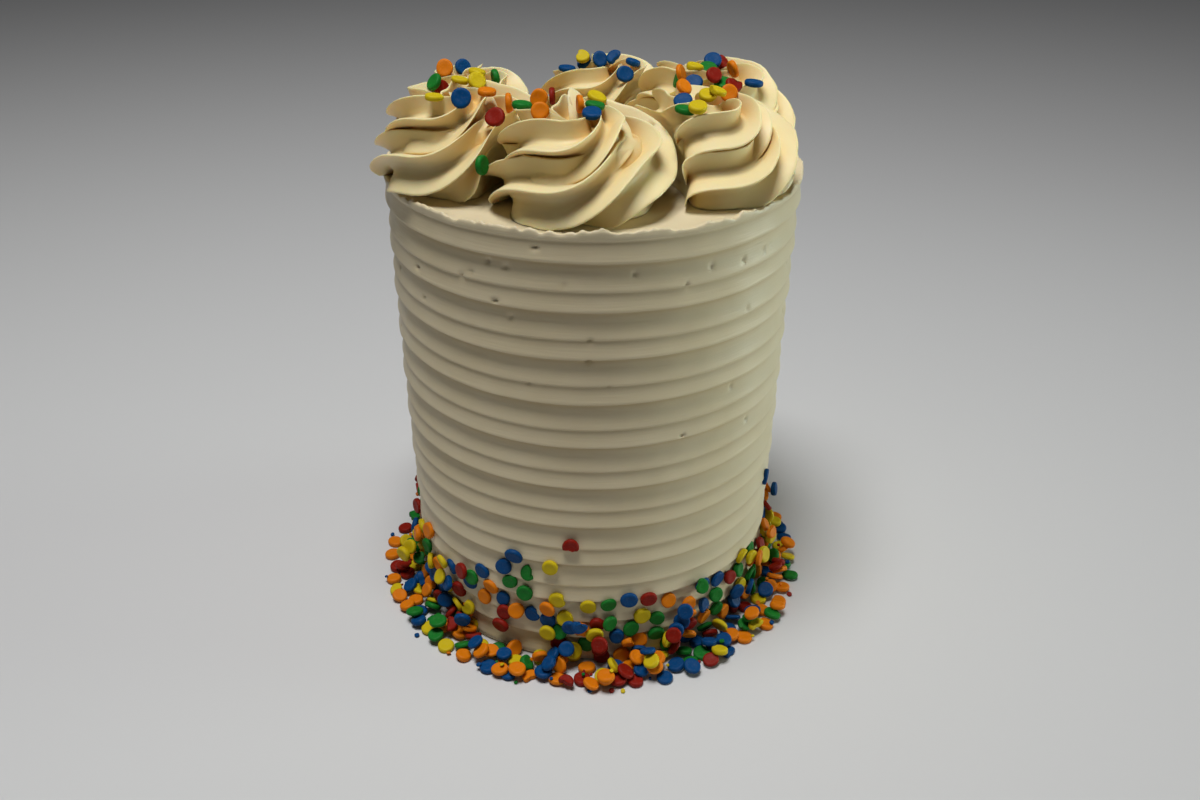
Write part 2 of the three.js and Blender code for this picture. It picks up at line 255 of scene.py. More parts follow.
def buttercream(name, colours, scatter, grain_height, drag_height):
    """Satin buttercream, with its mottle, its painted shade in folds, its relief and the light that
    glows through it.
    """
    material, tree, shader = new_material(name)
    place = node(tree, "ShaderNodeTexCoord").outputs["Object"]
    mottle = node(
        tree, "ShaderNodeTexNoise", {"Vector": place, "Scale": per_mm(MOTTLE_MM), "Detail": 3}
    ).outputs["Fac"]
    rough = node(
        tree,
        "ShaderNodeMapRange",
        {"Value": mottle, "To Min": SATIN[0], "To Max": SATIN[1]},
    ).outputs["Result"]
    relief = cream_relief(tree, place, grain_height, drag_height)
    tree.links.new(cream_with_painted_shade(tree, mottle, colours), shader.inputs["Base Color"])
    tree.links.new(rough, shader.inputs["Roughness"])
    tree.links.new(relief, shader.inputs["Normal"])
    shader.inputs["IOR"].default_value = FAT_IOR
    shader.inputs["Specular IOR Level"].default_value = FAT_SPECULAR
    weight, depth = scatter
    shader.inputs["Subsurface Weight"].default_value = weight
    shader.inputs["Subsurface Radius"].default_value = SCATTER_RGB
    shader.inputs["Subsurface Scale"].default_value = depth * MM
    return material


combed_buttercream = buttercream(
    "combed_buttercream", COMBED_CREAM_AND_SHADE_HEX, COMBED_SCATTER, COMBED_GRAIN_HEIGHT, COMBED_DRAG_HEIGHT
)
piped_buttercream = buttercream(
    "piped_buttercream", PIPED_CREAM_AND_SHADE_HEX, PIPED_SCATTER, PIPED_GRAIN_HEIGHT, 0.0
)
print("buttercream:", combed_buttercream.name, piped_buttercream.name)

# %% [markdown]
# ## The combed side
# A toothed comb held against the turning cake lays the icing in bands, like roof shingles: each
# band is scooped, deepest at its top, and flares out to a thin lip that overhangs the band below.
# In every pitch one lip stands out strongly and one weakly. Turning one profile round the axis
# gives that at once, as a lathe does. Bump in the material would be quicker, but it leaves the
# outline smooth and throws no shadow. The rows of points are crowded where the profile is sharp,
# at the two lips. Then the wall is made a little out of round and the ridges dip, as on the solid.

# %% Sizes of the iced body, in millimetres
CAKE_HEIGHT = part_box("cake")[1].z / MM
FOOT_RADIUS = 71.7
TOP_RADIUS = 75.8
COMB_PITCH = 17.06
COMB_DEPTH = 1.8
LOWEST_LIP = 12.2
# Waves that the hand left in the wall: crests a lap, height in mm, phase, and drift per mm.
SWELLS = ((2, 0.3, 0.6, 0), (3, 0.2, 0, 1 / 24))
DIPS = ((1, 0.5, -0.5, 0), (4, 0.25, 0, 1 / 19))
# The ridges dip less and less over this height at the foot and at the rim, which are level.
LEVEL_EDGE = 12


def wall_radius(z):
    return mix(FOOT_RADIUS, TOP_RADIUS, z / CAKE_HEIGHT)


def wander(waves, azimuth, z):
    """The sum of some waves at these angles and heights, in millimetres."""
    total = 0
    for crests, height, phase, drift in waves:
        total = total + height * np.sin(crests * azimuth + phase + z * drift)
    return total


print("height of the iced body:", round(CAKE_HEIGHT, 1), "mm")

# %% One tooth of the comb, from a strong lip up to the next
# Where the lips begin and end, as shares of the pitch, and how deep the comb cuts at the weak
# lip's underside and at its edge, as shares of the full depth.
STRONG_LIP = 0.025
WEAK_LIP = 0.43
WEAK_LIP_TOP = 0.455
BAND_DEPTH = 0.5
WEAK_DEPTH = 0.2
SCOOP_POWER = 1.7


def tooth_depth(share):
    """How deep the comb cuts, as a share of its full depth, at a share of one pitch."""

    def rolled(low, high):
        """From 1 to 0 as the share rises, like the quarter circle of a rolled lip."""
        return 1 - np.sqrt(1 - (1 - np.clip((share - low) / (high - low), 0, 1)) ** 2)

    def scooped(low, high):
        return 1 - (1 - np.clip((share - low) / (high - low), 0, 1)) ** SCOOP_POWER

    return np.select(
        [share < STRONG_LIP, share < WEAK_LIP, share < WEAK_LIP_TOP],
        [
            rolled(0, STRONG_LIP),
            BAND_DEPTH * scooped(STRONG_LIP, WEAK_LIP),
            mix(WEAK_DEPTH, BAND_DEPTH, rolled(WEAK_LIP, WEAK_LIP_TOP)),
        ],
        mix(WEAK_DEPTH, 1, scooped(WEAK_LIP_TOP, 1)),
    )


print("depth of the cut at a fifth and at half of the pitch:", tooth_depth(np.array([0.2, 0.5])))

# %% Rows of the side, from the foot to the rim
BODY_COLUMNS = 600
ROWS_AT_LIP = 5
ROWS_PER_BAND = 9
# How far below a lip the painted shade under it reaches, in millimetres.
PAINTED_SHADE_FADE = 1.3
# The lowest and the highest row keep this far from the foot and from the rim, in millimetres.
ABOVE_FOOT, BELOW_RIM = 0.4, 0.5


def side_rows():
    """Heights of the rows, how deep each one is cut, and how much painted shade it gets under a
    lip.
    """
    at_strong = np.linspace(0, STRONG_LIP, ROWS_AT_LIP, endpoint=False)
    low_band = np.linspace(STRONG_LIP, WEAK_LIP, ROWS_PER_BAND, endpoint=False)
    at_weak = np.linspace(WEAK_LIP, WEAK_LIP_TOP, ROWS_AT_LIP, endpoint=False)
    high_band = np.linspace(WEAK_LIP_TOP, 1, ROWS_PER_BAND, endpoint=False)
    shares = np.concatenate([at_strong, low_band, at_weak, high_band])
    lips = np.arange(LOWEST_LIP - COMB_PITCH, CAKE_HEIGHT, COMB_PITCH)
    heights = (lips[:, None] + shares * COMB_PITCH).ravel()
    depths = np.tile(tooth_depth(shares), len(lips)) * COMB_DEPTH
    # Painted shade under each lip: strongest right below the lip, fading downwards.
    below_lip = np.where(shares < WEAK_LIP, WEAK_LIP - shares, 1 - shares) * COMB_PITCH
    lip_size = np.where(shares < WEAK_LIP, BAND_DEPTH, 1)
    painted_shade = np.tile(lip_size * np.exp(-below_lip / PAINTED_SHADE_FADE), len(lips))
    inside = (heights > ABOVE_FOOT) & (heights < CAKE_HEIGHT - BELOW_RIM)
    return heights[inside], depths[inside], painted_shade[inside]


print("rows up the side:", len(side_rows()[0]))

# %% [markdown]
# Air bubbles that the comb dragged open leave short dents in the side. Each is a soft pit, wider
# than it is high because the comb smeared it, and there are more of them high up than low down.
# They could be cut with a Boolean, but subtracting a smooth bump from the radius keeps the rings
# of points whole.

# %% Bubble dents in the side
# The dents that show most: angle round the cake in degrees, and height in millimetres.
BIG_DENTS = (
    (-122, 158), (-112, 162), (-104, 170), (-117, 163), (-115, 150), (-143, 152), (-91, 131)
)
# The others: how many, the heights between which they lie as shares of the cake's, how they
# crowd upwards, and their sizes beside a big one.
SMALL_DENTS = {"count": 60, "heights": (0.2, 0.98), "power": 0.6, "sizes": (0.5, 0.9)}
DENT_DEPTH = 1.5
DENT_WIDTH, DENT_HEIGHT = 1.15, 0.6


def dent_places():
    """The angle, the height and the size of each dent."""
    draw = np.random.default_rng(5)
    places = [(math.radians(angle), height, 1.0) for angle, height in BIG_DENTS]
    for _ in range(SMALL_DENTS["count"]):
        height = CAKE_HEIGHT * draw.uniform(*SMALL_DENTS["heights"]) ** SMALL_DENTS["power"]
        places.append((draw.uniform(-np.pi, np.pi), height, draw.uniform(*SMALL_DENTS["sizes"])))
    return places


def dent_depths(azimuth, z):
    """The depth of the bubble dents at each point of the side."""
    total = np.zeros_like(azimuth + z)
    for middle, height, size in dent_places():
        across = (azimuth - middle + np.pi) % (2 * np.pi) - np.pi
        offset = (across * TOP_RADIUS / DENT_WIDTH) ** 2 + ((z - height) / DENT_HEIGHT) ** 2
        total += DENT_DEPTH * size * np.exp(-offset / size**2)
    return total


print("dents in the side:", len(dent_places()))

# %% The combed side
# How unevenly the comb cut, as a share of the cut, and how uneven the wall is, in millimetres,
# each with the size of its lumps in millimetres.
CHATTER, CHATTER_SIZE = 0.12, 30
UNEVEN, UNEVEN_SIZE = 0.12, 9


def combed_side(azimuth):
    """Rings of points up the side, with everything that the comb and the hand left in it."""
    heights, depths, _ = side_rows()
    z = heights[:, None] + 0 * azimuth
    wall = outward(azimuth)[None] * wall_radius(z)[..., None] + UP * z[..., None]
    chatter = 1 + CHATTER * lumps(wall, CHATTER_SIZE, seed=1)
    reach = wall_radius(z) - depths[:, None] * chatter + wander(SWELLS, azimuth, z)
    reach += UNEVEN * lumps(wall, UNEVEN_SIZE, seed=2) - dent_depths(azimuth, z)
    side = outward(azimuth)[None] * reach[..., None]
    level = smoothstep(z, 0, LEVEL_EDGE)
    level = level * (1 - smoothstep(z, CAKE_HEIGHT - LEVEL_EDGE, CAKE_HEIGHT))
    side[..., 2] = z + wander(DIPS, azimuth, z) * level
    return side


print("shape of the rings with four columns:", combed_side(np.arange(4.0)).shape)

# %% [markdown]
# The rim is where the spatula stopped: it pulled the icing of the side up and over in a thin
# ragged lip, which stands about a millimetre proud in places. The top behind it is flat, with
# long shallow smears. Both are more rings of points on top of those of the side, so the whole
# body is one closed skin without a seam.

# %% Rim and top
# How far in from the rim, and how much of the lip's height each ring of the rim takes.
RIM_RINGS = ((0.1, 0.35), (0.45, 0.9), (0.9, 1.0), (1.5, 0.75), (2.3, 0.3), (3.6, 0.0))
LIP_HEIGHT = 1.8
# The lip's mean height and its highest place, and the height and size in mm of its waves and nicks.
RAGGED_MEAN, RAGGED_MOST = 0.45, 1.6
RAGGED_WAVES = ((0.7, 9), (0.6, 2.8), (0.35, 1.3))
# How far the lip bulges out and in, and the size of its bulges.
RIM_BULGE, RIM_BULGE_SIZE = 0.5, 6
# The smears: rings that carry them, height, size, stretch, and how soon they set in, as a share.
TOP_RINGS = 14
SMEAR_HEIGHT = 0.35
SMEAR_SIZE = 14
SMEAR_STRETCH = (1, 0.3, 1)
SMEAR_FROM_RIM = 0.25


def rim_rings(azimuth):
    """Rings of points over the ragged lip, from the top of the side to the flat behind it."""
    edge = outward(azimuth) * TOP_RADIUS
    ragged = RAGGED_MEAN
    for seed, (height, size) in enumerate(RAGGED_WAVES, start=3):
        ragged = ragged + height * lumps(edge, size, seed=seed)
    ragged = np.clip(ragged, 0, RAGGED_MOST)
    swell = wander(SWELLS, azimuth, CAKE_HEIGHT)
    rings = []
    for inset, share in RIM_RINGS:
        reach = TOP_RADIUS - inset + swell * (1 - inset / TOP_RADIUS)
        reach = reach + RIM_BULGE * share * lumps(edge, RIM_BULGE_SIZE, seed=6)
        ring = outward(azimuth) * reach[:, None]
        ring[:, 2] = CAKE_HEIGHT + LIP_HEIGHT * share * ragged
        rings.append(ring)
    return rings


def top_rings(azimuth):
    """Rings of points from behind the lip to the middle of the top."""
    rings = []
    for inset in np.linspace(0, 1, TOP_RINGS + 1)[1:-1]:
        ring = outward(azimuth) * mix(TOP_RADIUS - RIM_RINGS[-1][0], 0, inset)
        smear = SMEAR_HEIGHT * lumps(ring * SMEAR_STRETCH, SMEAR_SIZE, seed=8)
        ring[:, 2] = CAKE_HEIGHT + smear * min(1, inset / SMEAR_FROM_RIM)
        rings.append(ring)
    return rings


def iced_rings():
    """Rings of points from the foot, up the side, to the middle of the top."""
    azimuth = np.arange(BODY_COLUMNS) / BODY_COLUMNS * 2 * np.pi
    foot = outward(azimuth) * (FOOT_RADIUS - COMB_DEPTH)
    return np.stack([foot, *combed_side(azimuth), *rim_rings(azimuth), *top_rings(azimuth)])


print("rings over the rim and the top:", len(RIM_RINGS) + TOP_RINGS - 1)

# %% Make the iced body
def keep_painted_shade(made, painted_shade):
    """Keeps on the mesh how much painted shade each point gets, for the material to read."""
    made.data.attributes.new("painted_shade", "FLOAT", "POINT").data.foreach_set("value", painted_shade)


points, faces = closed_rings(iced_rings(), (0, 0, 0), (0, 0, CAKE_HEIGHT))
iced_body = mesh_object("iced_body", points, faces, combed_buttercream)
# Painted shade under the comb's lips; the foot, the rim and the top get none.
painted_shade = np.zeros(len(points))
side_folds = np.repeat(side_rows()[2], BODY_COLUMNS)
painted_shade[BODY_COLUMNS : BODY_COLUMNS + len(side_folds)] = side_folds
keep_painted_shade(iced_body, painted_shade)
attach(iced_body, "root")
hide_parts("cake")
print("iced body:", len(faces), "faces")

# %% [markdown]
# ## The rosettes
# A rosette is one rope of icing, squeezed through a star nozzle while the hand circles inwards
# and upwards. The nozzle keeps facing the same way, so the star's points slide round the rope
# once a lap and become the long lips that sweep from the rosette's foot to its peak. The hand
# also rocks the nozzle a few times a lap, which ruffles the lips. Modelling that motion gives the
# real form: a star section is carried along the coil, half a lap at a time, and the pieces are
# then united into one skin, because where two laps press together the icing is one body with a
# crease and not two that pass through each other.

# %% Sizes of a rosette, in millimetres and laps
# The star rope: its teeth, the reach of their crests and valleys, and how far the crests lean.
ROPE_TEETH = 6
ROPE_CREST = 12.6
ROPE_VALLEY = 5.8
LIP_LEAN = math.radians(8)
# The coil: the rope's distance from the axis and its height, in each lap and at the end.
LOWER_COIL = (20.5, 7.5)
UPPER_COIL = (15.5, 18.5)
COIL_END = (1.5, 25)
# The laps: how many, between which the rope climbs, from which it closes, and how thin it ends.
LAPS = 2.25
CLIMB = (0.55, 1.3)
CLOSE_FROM = 1.5
COIL_END_SIZE = 0.5
# How thin the rope starts, and the laps between which it grows full.
ROPE_START = (0.7, -0.06, 0.12)
# How often and how far the hand rocks the nozzle, which ruffles the lips.
RUFFLES_PER_LAP = 4
RUFFLE_SWING = math.radians(14)
# The gap under a rosette, the room between two, how gently one gives way to the next, and how near
# its own axis the rope may come.
GAP = 0.3
ROOM = 0.7
GIVE = 3.5
AXIS_CLEARANCE = 0.3
# In the order of piping. place: angle and distance from the cake's axis. rope: its size, the
# angle where it starts, the nozzle's heading, and the angle of the fold where the lips rise
# steepest. peak: its height, its lean, and the way it leans.
ROSETTES = {
    "rosette_back_left": {"place": (156, 52), "rope": (0.85, 246, 20, -62), "peak": (13, 8, 0)},
    "rosette_back": {"place": (86, 48), "rope": (0.82, 184, 30, -70), "peak": (11.5, 7, 0)},
    "rosette_back_right": {"place": (25, 48), "rope": (1, 100, 10, -98), "peak": (5, 3, 0)},
    "rosette_front_right": {"place": (-32, 46), "rope": (1, 60, 24, -38), "peak": (5, 1, -100)},
    "rosette_front_left": {"place": (206, 48.5), "rope": (1, -20, 15, -80), "peak": (8, 5, 180)},
    "rosette_front": {"place": (-94, 43.5), "rope": (1, 20, 32, -74), "peak": (14, 7, 130)},
}


def rosette_middle(name):
    azimuth, distance = ROSETTES[name]["place"]
    return outward(math.radians(azimuth)) * distance


def rosette_base(name):
    return rosette_middle(name) + UP * (CAKE_HEIGHT + GAP)


print("the front rosette stands on", rosette_base("rosette_front").round(1))

# %% The path of the rope
COIL_SAMPLES = 46


def rope_at(lap):
    """The rope's distance from the rosette's axis, its height and its fullness after these laps."""
    climb = smoothstep(lap, *CLIMB)
    close = smoothstep(lap, CLOSE_FROM, LAPS)
    size, begin, full = ROPE_START
    radius = mix(mix(LOWER_COIL[0], UPPER_COIL[0], climb), COIL_END[0], close)
    height = mix(mix(LOWER_COIL[1], UPPER_COIL[1], climb), COIL_END[1], close)
    return radius, height, mix(size, 1, smoothstep(lap, begin, full)) * mix(1, COIL_END_SIZE, close)


def coil_reach(z, rope_radius, scale=1):
    """How far a round rope coiled like this reaches from its axis at each height; 0 above it."""
    radius, height, size = rope_at(np.linspace(0, LAPS, COIL_SAMPLES))
    full = rope_radius * size
    above = np.maximum(0, np.asarray(z, float)[..., None] / scale - height) / full
    reach = np.where(above < 1, radius + full * np.sqrt(np.clip(1 - above**2, 0, 1)), 0)
    return scale * reach.max(-1)


print("a rosette reaches", coil_reach(0, ROPE_CREST).round(1), "mm from its axis at its foot")

# %% How an older rosette gives way to the newer ones that press against it
LEAST_DISTANCE = 1e-6


def give_way(points, name):
    """Pushes the points out of every rosette that is piped later than this one."""
    order = list(ROSETTES)
    moved = np.array(points, float)
    for newer in order[order.index(name) + 1 :]:
        away = (moved - rosette_middle(newer)) * [1, 1, 0]
        distance = np.maximum(np.linalg.norm(away, axis=-1), LEAST_DISTANCE)
        height = moved[..., 2] - CAKE_HEIGHT - GAP
        reach = coil_reach(height, ROPE_CREST, ROSETTES[newer]["rope"][0])
        limit = reach + ROOM
        pushed = limit + GIVE * np.logaddexp(0, (distance - limit) / GIVE)
        step = np.where(reach > 0, (pushed - distance) / distance, 0)
        moved += away * step[..., None]
    return moved


beside_newest = rosette_base("rosette_front") + outward(0) * LOWER_COIL[0]
pushed_aside = give_way(beside_newest, "rosette_back") - beside_newest
print("a point in a newer rosette is pushed by", np.linalg.norm(pushed_aside).round(1), "mm")

# %% [markdown]
# The nozzle's six points are thin, so each lip of the rope is a blade with a hollow on either
# side. A power curve between valley and crest draws that: the higher the power, the thinner the
# lip. Its edge is rounded over, so that it catches the light, and the points of the section are
# crowded there. Real lips also fray: where the bag was low the edge tears, so a little noise is
# added to the crests only, and more of it on the lowest lap, which drags on the cake.

# %% The star section
# Where the points lie from a crest to the next valley, as shares of the way.
OFF_CREST = np.array([0, 0.035, 0.065, 0.085, 0.11, 0.18, 0.31, 0.5, 0.75, 1])
# How far the top of a lip is flat, the power that thins it, and how wide and how deep its edge is
# rounded over, as shares.
LIP_FLAT = 0.06
LIP_POWER = 2.8
EDGE_WIDTH = 0.09
EDGE_DROP = 0.07


def star_section():
    """Round one section: the place of each point, in teeth, and how far up a blade it is."""
    within = np.concatenate([OFF_CREST / 2, 1 - OFF_CREST[-2:0:-1] / 2])
    teeth = (np.arange(ROPE_TEETH)[:, None] + within).ravel()
    off_crest = np.tile(np.minimum(within, 1 - within) * 2, ROPE_TEETH)
    blade = (1 - np.maximum(0, off_crest - LIP_FLAT) / (1 - LIP_FLAT)) ** LIP_POWER
    blade -= EDGE_DROP * (1 - np.sqrt(1 - np.minimum(1, off_crest / EDGE_WIDTH) ** 2))
    return teeth, np.maximum(0, blade)


print("points round the star:", len(star_section()[0]))

# %% The frayed edges of the lips, in millimetres
FRAY, FRAY_SIZE = 0.85, 1.6
# The edge is torn in stretches of this size, which this gain and shift make short and sharp.
STRETCH_SIZE, STRETCH_GAIN, STRETCH_SHIFT = 14, 3, 0.2
# The laps between which the fraying falls off to a share of what it is on the lowest lap.
FRAY_FALLS, FRAY_ABOVE = (0.4, 1.2), 0.4
# Between the tears the edge only waves.
EDGE_WAVE, EDGE_WAVE_SIZE = 0.5, 9


def frayed(points, laps, blade):
    """How much farther a lip reaches at each point, and below zero where it is torn."""
    low = 1 - smoothstep(laps, *FRAY_FALLS)
    stretches = lumps(points, STRETCH_SIZE, seed=12) * STRETCH_GAIN + STRETCH_SHIFT
    torn = lumps(points, FRAY_SIZE, seed=11) * np.clip(stretches, 0, 1)
    wave = EDGE_WAVE * lumps(points, EDGE_WAVE_SIZE, seed=13)
    return blade**3 * (FRAY * torn * mix(FRAY_ABOVE, 1, low) + wave)


print("fraying at the axis:", frayed(np.zeros((1, 3)), 0.0, 1.0).round(2), "mm")

# %% The star carried along the rope
STEPS_PER_LAP = 72


def rope_sections(name, laps):
    """Points of the star-shaped section at each lap, and the middle of each section."""
    scale, start, heading, fold = ROSETTES[name]["rope"]
    radius, height, size = (value[:, None] for value in rope_at(laps))
    turned = math.radians(start) + laps[:, None] * 2 * math.pi
    ruffle = np.sin(RUFFLES_PER_LAP * (turned - math.radians(fold)))
    facing = math.radians(heading) - RUFFLE_SWING * ruffle
    teeth, blade = star_section()
    angle = turned - facing - teeth * 2 * math.pi / ROPE_TEETH - LIP_LEAN * blade

    def placed(out, up):
        point = outward(turned + 0 * out) * np.maximum(AXIS_CLEARANCE, out)[..., None]
        point[..., 2] = np.maximum(0, up)
        return scale * point

    def reaching(crest):
        return placed(radius + crest * np.cos(angle), height + crest * np.sin(angle))

    crest = (ROPE_VALLEY + (ROPE_CREST - ROPE_VALLEY) * blade) * size
    unfrayed = reaching(crest) + rosette_middle(name)
    rings = reaching(crest + frayed(unfrayed, laps[:, None], blade))
    middles = placed(radius, height)[:, 0]
    base = rosette_base(name)
    return give_way(rings + base, name), give_way(middles + base, name)


print("sections along a rope:", round(LAPS * STEPS_PER_LAP) + 1)

# %% [markdown]
# Inside the coil the laps have run together, and a low round core stands for that icing. At the
# top the nozzle pulls away and draws the icing out to a thin, leaning, slightly torn peak. Both
# are stacks of rings again, so one helper closes them, and both give way to newer rosettes too.

# %% The icing inside the coil
CORE_INSET = 2.2
CORE_FOOT = 22.5
CORE_HEIGHTS = np.array([0, 4, 8, 12, 15, 18, 21, 24])
CORE_SIDES = 40


def core_rings(name):
    """Rings of the core, and its lowest and highest point."""
    reach = coil_reach(CORE_HEIGHTS, ROPE_VALLEY - CORE_INSET)
    reach[0] = CORE_FOOT
    around = np.arange(CORE_SIDES) / CORE_SIDES * 2 * np.pi
    rings = outward(around)[None] * reach[:, None, None]
    rings = rings + np.multiply.outer(CORE_HEIGHTS, UP[None])
    ends = np.outer([0, CORE_HEIGHTS[-1] + 1], UP)
    scale, base = ROSETTES[name]["rope"][0], rosette_base(name)
    return give_way(scale * rings + base, name), give_way(scale * ends + base, name)


print("points of a core:", core_rings("rosette_front")[0].shape[:2])

# %% The peak where the nozzle pulls away
PEAK = {"broad": 6.5, "thin": 2.6, "bottom": 22, "taper": 0.55}
# Ripples round the torn peak: depth as a share, how many, and how far they twist on the way up.
PEAK_RIPPLES = ((0.12, 5, 9), (0.06, 11, -16))
PEAK_SIDES = 20
PEAK_LEVELS = 12


def peak_rings(name):
    """Rings of the peak, and its lowest and highest point."""
    height, lean, towards = ROSETTES[name]["peak"]
    share = (np.arange(PEAK_LEVELS) / PEAK_LEVELS)[:, None]
    along, across = outward(math.radians(towards)), outward(math.radians(towards + 90))
    around = np.arange(PEAK_SIDES) / PEAK_SIDES * 2 * np.pi
    torn = 1
    for depth, count, twist in PEAK_RIPPLES:
        torn = torn + depth * np.cos(count * around + twist * share)
    reach = (1 - share) ** PEAK["taper"] * torn
    thin = PEAK["thin"] * reach * np.cos(around)
    broad = PEAK["broad"] * reach * np.sin(around)
    bottom, top = UP * PEAK["bottom"], UP * (PEAK["bottom"] + height)
    middles = bottom + along * lean * share**2 + np.multiply(share, top - bottom)
    rings = thin[..., None] * along + broad[..., None] * across + middles[:, None]
    ends = np.array([bottom, top + along * lean])
    scale, base = ROSETTES[name]["rope"][0], rosette_base(name)
    return give_way(scale * rings + base, name), give_way(scale * ends + base, name)


print("points of a peak:", peak_rings("rosette_front")[0].shape[:2])

# %% [markdown]
# The rope crosses itself on every lap, and a skin that passes through itself shades badly and
# can't be exported as one body. So the rope is cut into pieces of half a lap, which don't cross
# themselves, and a Boolean modifier unites them with the core and the peak. Its manifold solver
# is the quickest of the three for closed parts like these. Where two lips meet at a sharp angle
# the shading is split, so that the crease stays crisp while the lips stay smooth.

# %% Unite closed parts into one skin
def united(name, parts):
    """One object from closed parts that overlap, joined by a single Boolean union."""
    group = bpy.data.collections.new(name + "_parts")
    bpy.context.scene.collection.children.link(group)
    first, *others = [mesh_object(f"{name}_part_{i}", *part) for i, part in enumerate(parts)]
    for other in others:
        bpy.context.scene.collection.objects.unlink(other)
        group.objects.link(other)
    union = first.modifiers.new("union", "BOOLEAN")
    union.operation = "UNION"
    union.operand_type = "COLLECTION"
    union.collection = group
    union.solver = "MANIFOLD"
    evaluated = first.evaluated_get(bpy.context.evaluated_depsgraph_get())
    mesh = bpy.data.meshes.new_from_object(evaluated)
    for part in [first, *others]:
        bpy.data.objects.remove(part)
    bpy.data.collections.remove(group)
    made = bpy.data.objects.new(name, mesh)
    bpy.context.scene.collection.objects.link(made)
    return made


# %% One whole rosette
CREASE_ANGLE = math.radians(50)
PIECE = STEPS_PER_LAP // 2


def rosette_parts(name):
    """The closed parts of a rosette: core, rope in pieces of half a lap, and peak."""
    core, core_ends = core_rings(name)
    parts = [closed_rings(core, *core_ends)]
    laps = np.arange(round(LAPS * STEPS_PER_LAP) + 1) / STEPS_PER_LAP
    rings, middles = rope_sections(name, laps)
    for first in range(0, len(laps) - 1, PIECE):
        last = min(first + PIECE, len(laps) - 1)
        parts.append(closed_rings(rings[first : last + 1], middles[first], middles[last]))
    peak, peak_ends = peak_rings(name)
    return [*parts, closed_rings(peak, *peak_ends)]


def piped_rosette(name):
    """One object of piped buttercream, smooth except at its creases."""
    made = united(name + "_piped", rosette_parts(name))
    mesh = made.data
    mesh.polygons.foreach_set("use_smooth", [True] * len(mesh.polygons))
    mesh.set_sharp_from_angle(angle=CREASE_ANGLE)
    mesh.materials.clear()
    mesh.materials.append(piped_buttercream)
    return made


print("parts of a rosette:", len(rosette_parts("rosette_front")))

# %% [markdown]
# Light that comes out of a deep fold has gone through more icing, so it is warmer, and less light
# reaches into a fold. That is painted into the colour as shade: darker and warmer deep in the
# folds.
# To find them, each point of the skin sends out a sphere of short feelers: the more of them that
# meet icing again, the deeper in a fold the point lies. Averaging with its neighbours makes the
# painted shade smooth. A shader node for ambient occlusion could do it too, but a share that is
# worked out once and kept on the mesh costs nothing in the render, and it can be averaged and
# printed.

# %% How deep in a fold each point lies
# The feelers: how many, how long and how far off the skin they start in mm, and how steeply at
# least they leave it, as the cosine from its normal.
FEELERS = 26
FEELER_LENGTH = 8
FEELER_START = 0.3
LEAST_RISE = 0.15
# The shares of feelers at which a place counts as quite open and as quite folded: there the painted
# shade begins and is full.
OPEN_SHARE, DEEP_SHARE = 0.1, 0.9
AVERAGES = 2


def feeler_directions():
    """Directions spread evenly over a sphere by the golden angle."""
    steps = np.arange(FEELERS)
    height = 1 - (2 * steps + 1) / FEELERS
    ring = outward(steps * math.pi * (3 - math.sqrt(5))) * np.sqrt(1 - height**2)[:, None]
    return [Vector(direction) for direction in ring + np.outer(height, [0, 0, 1])]


def feel_folds(made):
    """For each point of the skin, the share of its feelers that met icing."""
    tree = BVHTree.FromObject(made, bpy.context.evaluated_depsgraph_get())
    feelers = feeler_directions()
    shares = []
    for vertex in made.data.vertices:
        free = [feeler for feeler in feelers if feeler.dot(vertex.normal) > LEAST_RISE]
        start = vertex.co + vertex.normal * FEELER_START * MM
        met = [tree.ray_cast(start, feeler, FEELER_LENGTH * MM)[0] is not None for feeler in free]
        shares.append(sum(met) / max(1, len(met)))
    return np.array(shares)


def averaged(made, values):
    """Each point's value, averaged with those of the points that an edge joins to it."""
    ends = np.array([edge.vertices[:] for edge in made.data.edges])
    total, count = values.copy(), np.ones(len(values))
    for one, other in (ends.T, ends.T[::-1]):
        np.add.at(total, one, values[other])
        np.add.at(count, one, 1)
    return total / count


print("feelers at each point:", len(feeler_directions()))

# %% Make the rosettes
rosettes = {}
for name in ROSETTES:
    rosettes[name] = piped_rosette(name)
    shares = feel_folds(rosettes[name])
    for _ in range(AVERAGES):
        shares = averaged(rosettes[name], shares)
    # Painted shade in the rosette's folds, from the share of feelers that met icing.
    keep_painted_shade(rosettes[name], smoothstep(shares, OPEN_SHARE, DEEP_SHARE))
    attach(rosettes[name], "root")
    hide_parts(name)
    print(name, len(rosettes[name].data.polygons), "faces")

# %% [markdown]
# ## Confetti
# Confetti is sugar paste stamped into little tablets and dried. Each has a puffed rim and a
# dimple where the middle sank, no two are quite round, some are chipped, and a few are crumbs.
# They are real little meshes and not a pattern, because they lie on each other at every angle.
# Each is tried at several tilts and keeps the one in which it lies lowest without passing
# through the icing, the floor or a neighbour, which is what a dropped tablet does.

# %% Sizes of a tablet, in millimetres
TABLET_RADIUS = 3.1
TABLET_HALF = 0.95
# The smallest and the largest tablet beside that one, across and in thickness.
RADIUS_SPREAD, HALF_SPREAD = (0.96, 1.1), (0.88, 1.2)


def new_size(draw):
    return TABLET_RADIUS * draw.uniform(*RADIUS_SPREAD), TABLET_HALF * draw.uniform(*HALF_SPREAD)


print("a tablet is", 2 * TABLET_RADIUS, "mm across and", 2 * TABLET_HALF, "mm thick")

# %% The shape of one tablet
# From the dimple to the rim: share of the radius, and of half the thickness.
TABLET_PROFILE = ((0.3, 0.84), (0.55, 0.92), (0.76, 1.0), (0.91, 0.86), (0.98, 0.5), (1.0, 0.0))
DIMPLE = 0.8
TABLET_SIDES = 18
# At most how far off round it is, as an oval and as a blunt triangle, and off flat, as shares.
OVAL, THREE_SIDED, BENT, WEDGED = 0.06, 0.03, 0.12, 0.1
# A chip is broken off along a line between these shares of the radius, which is this ragged.
CHIPPED_SHARE = 0.1
CHIPPED_AT, CHIP_RAGGED = (0.2, 0.7), 0.08
# Nearly a full turn, in radians, for the phase of each of those flaws.
ANY_PHASE = 6


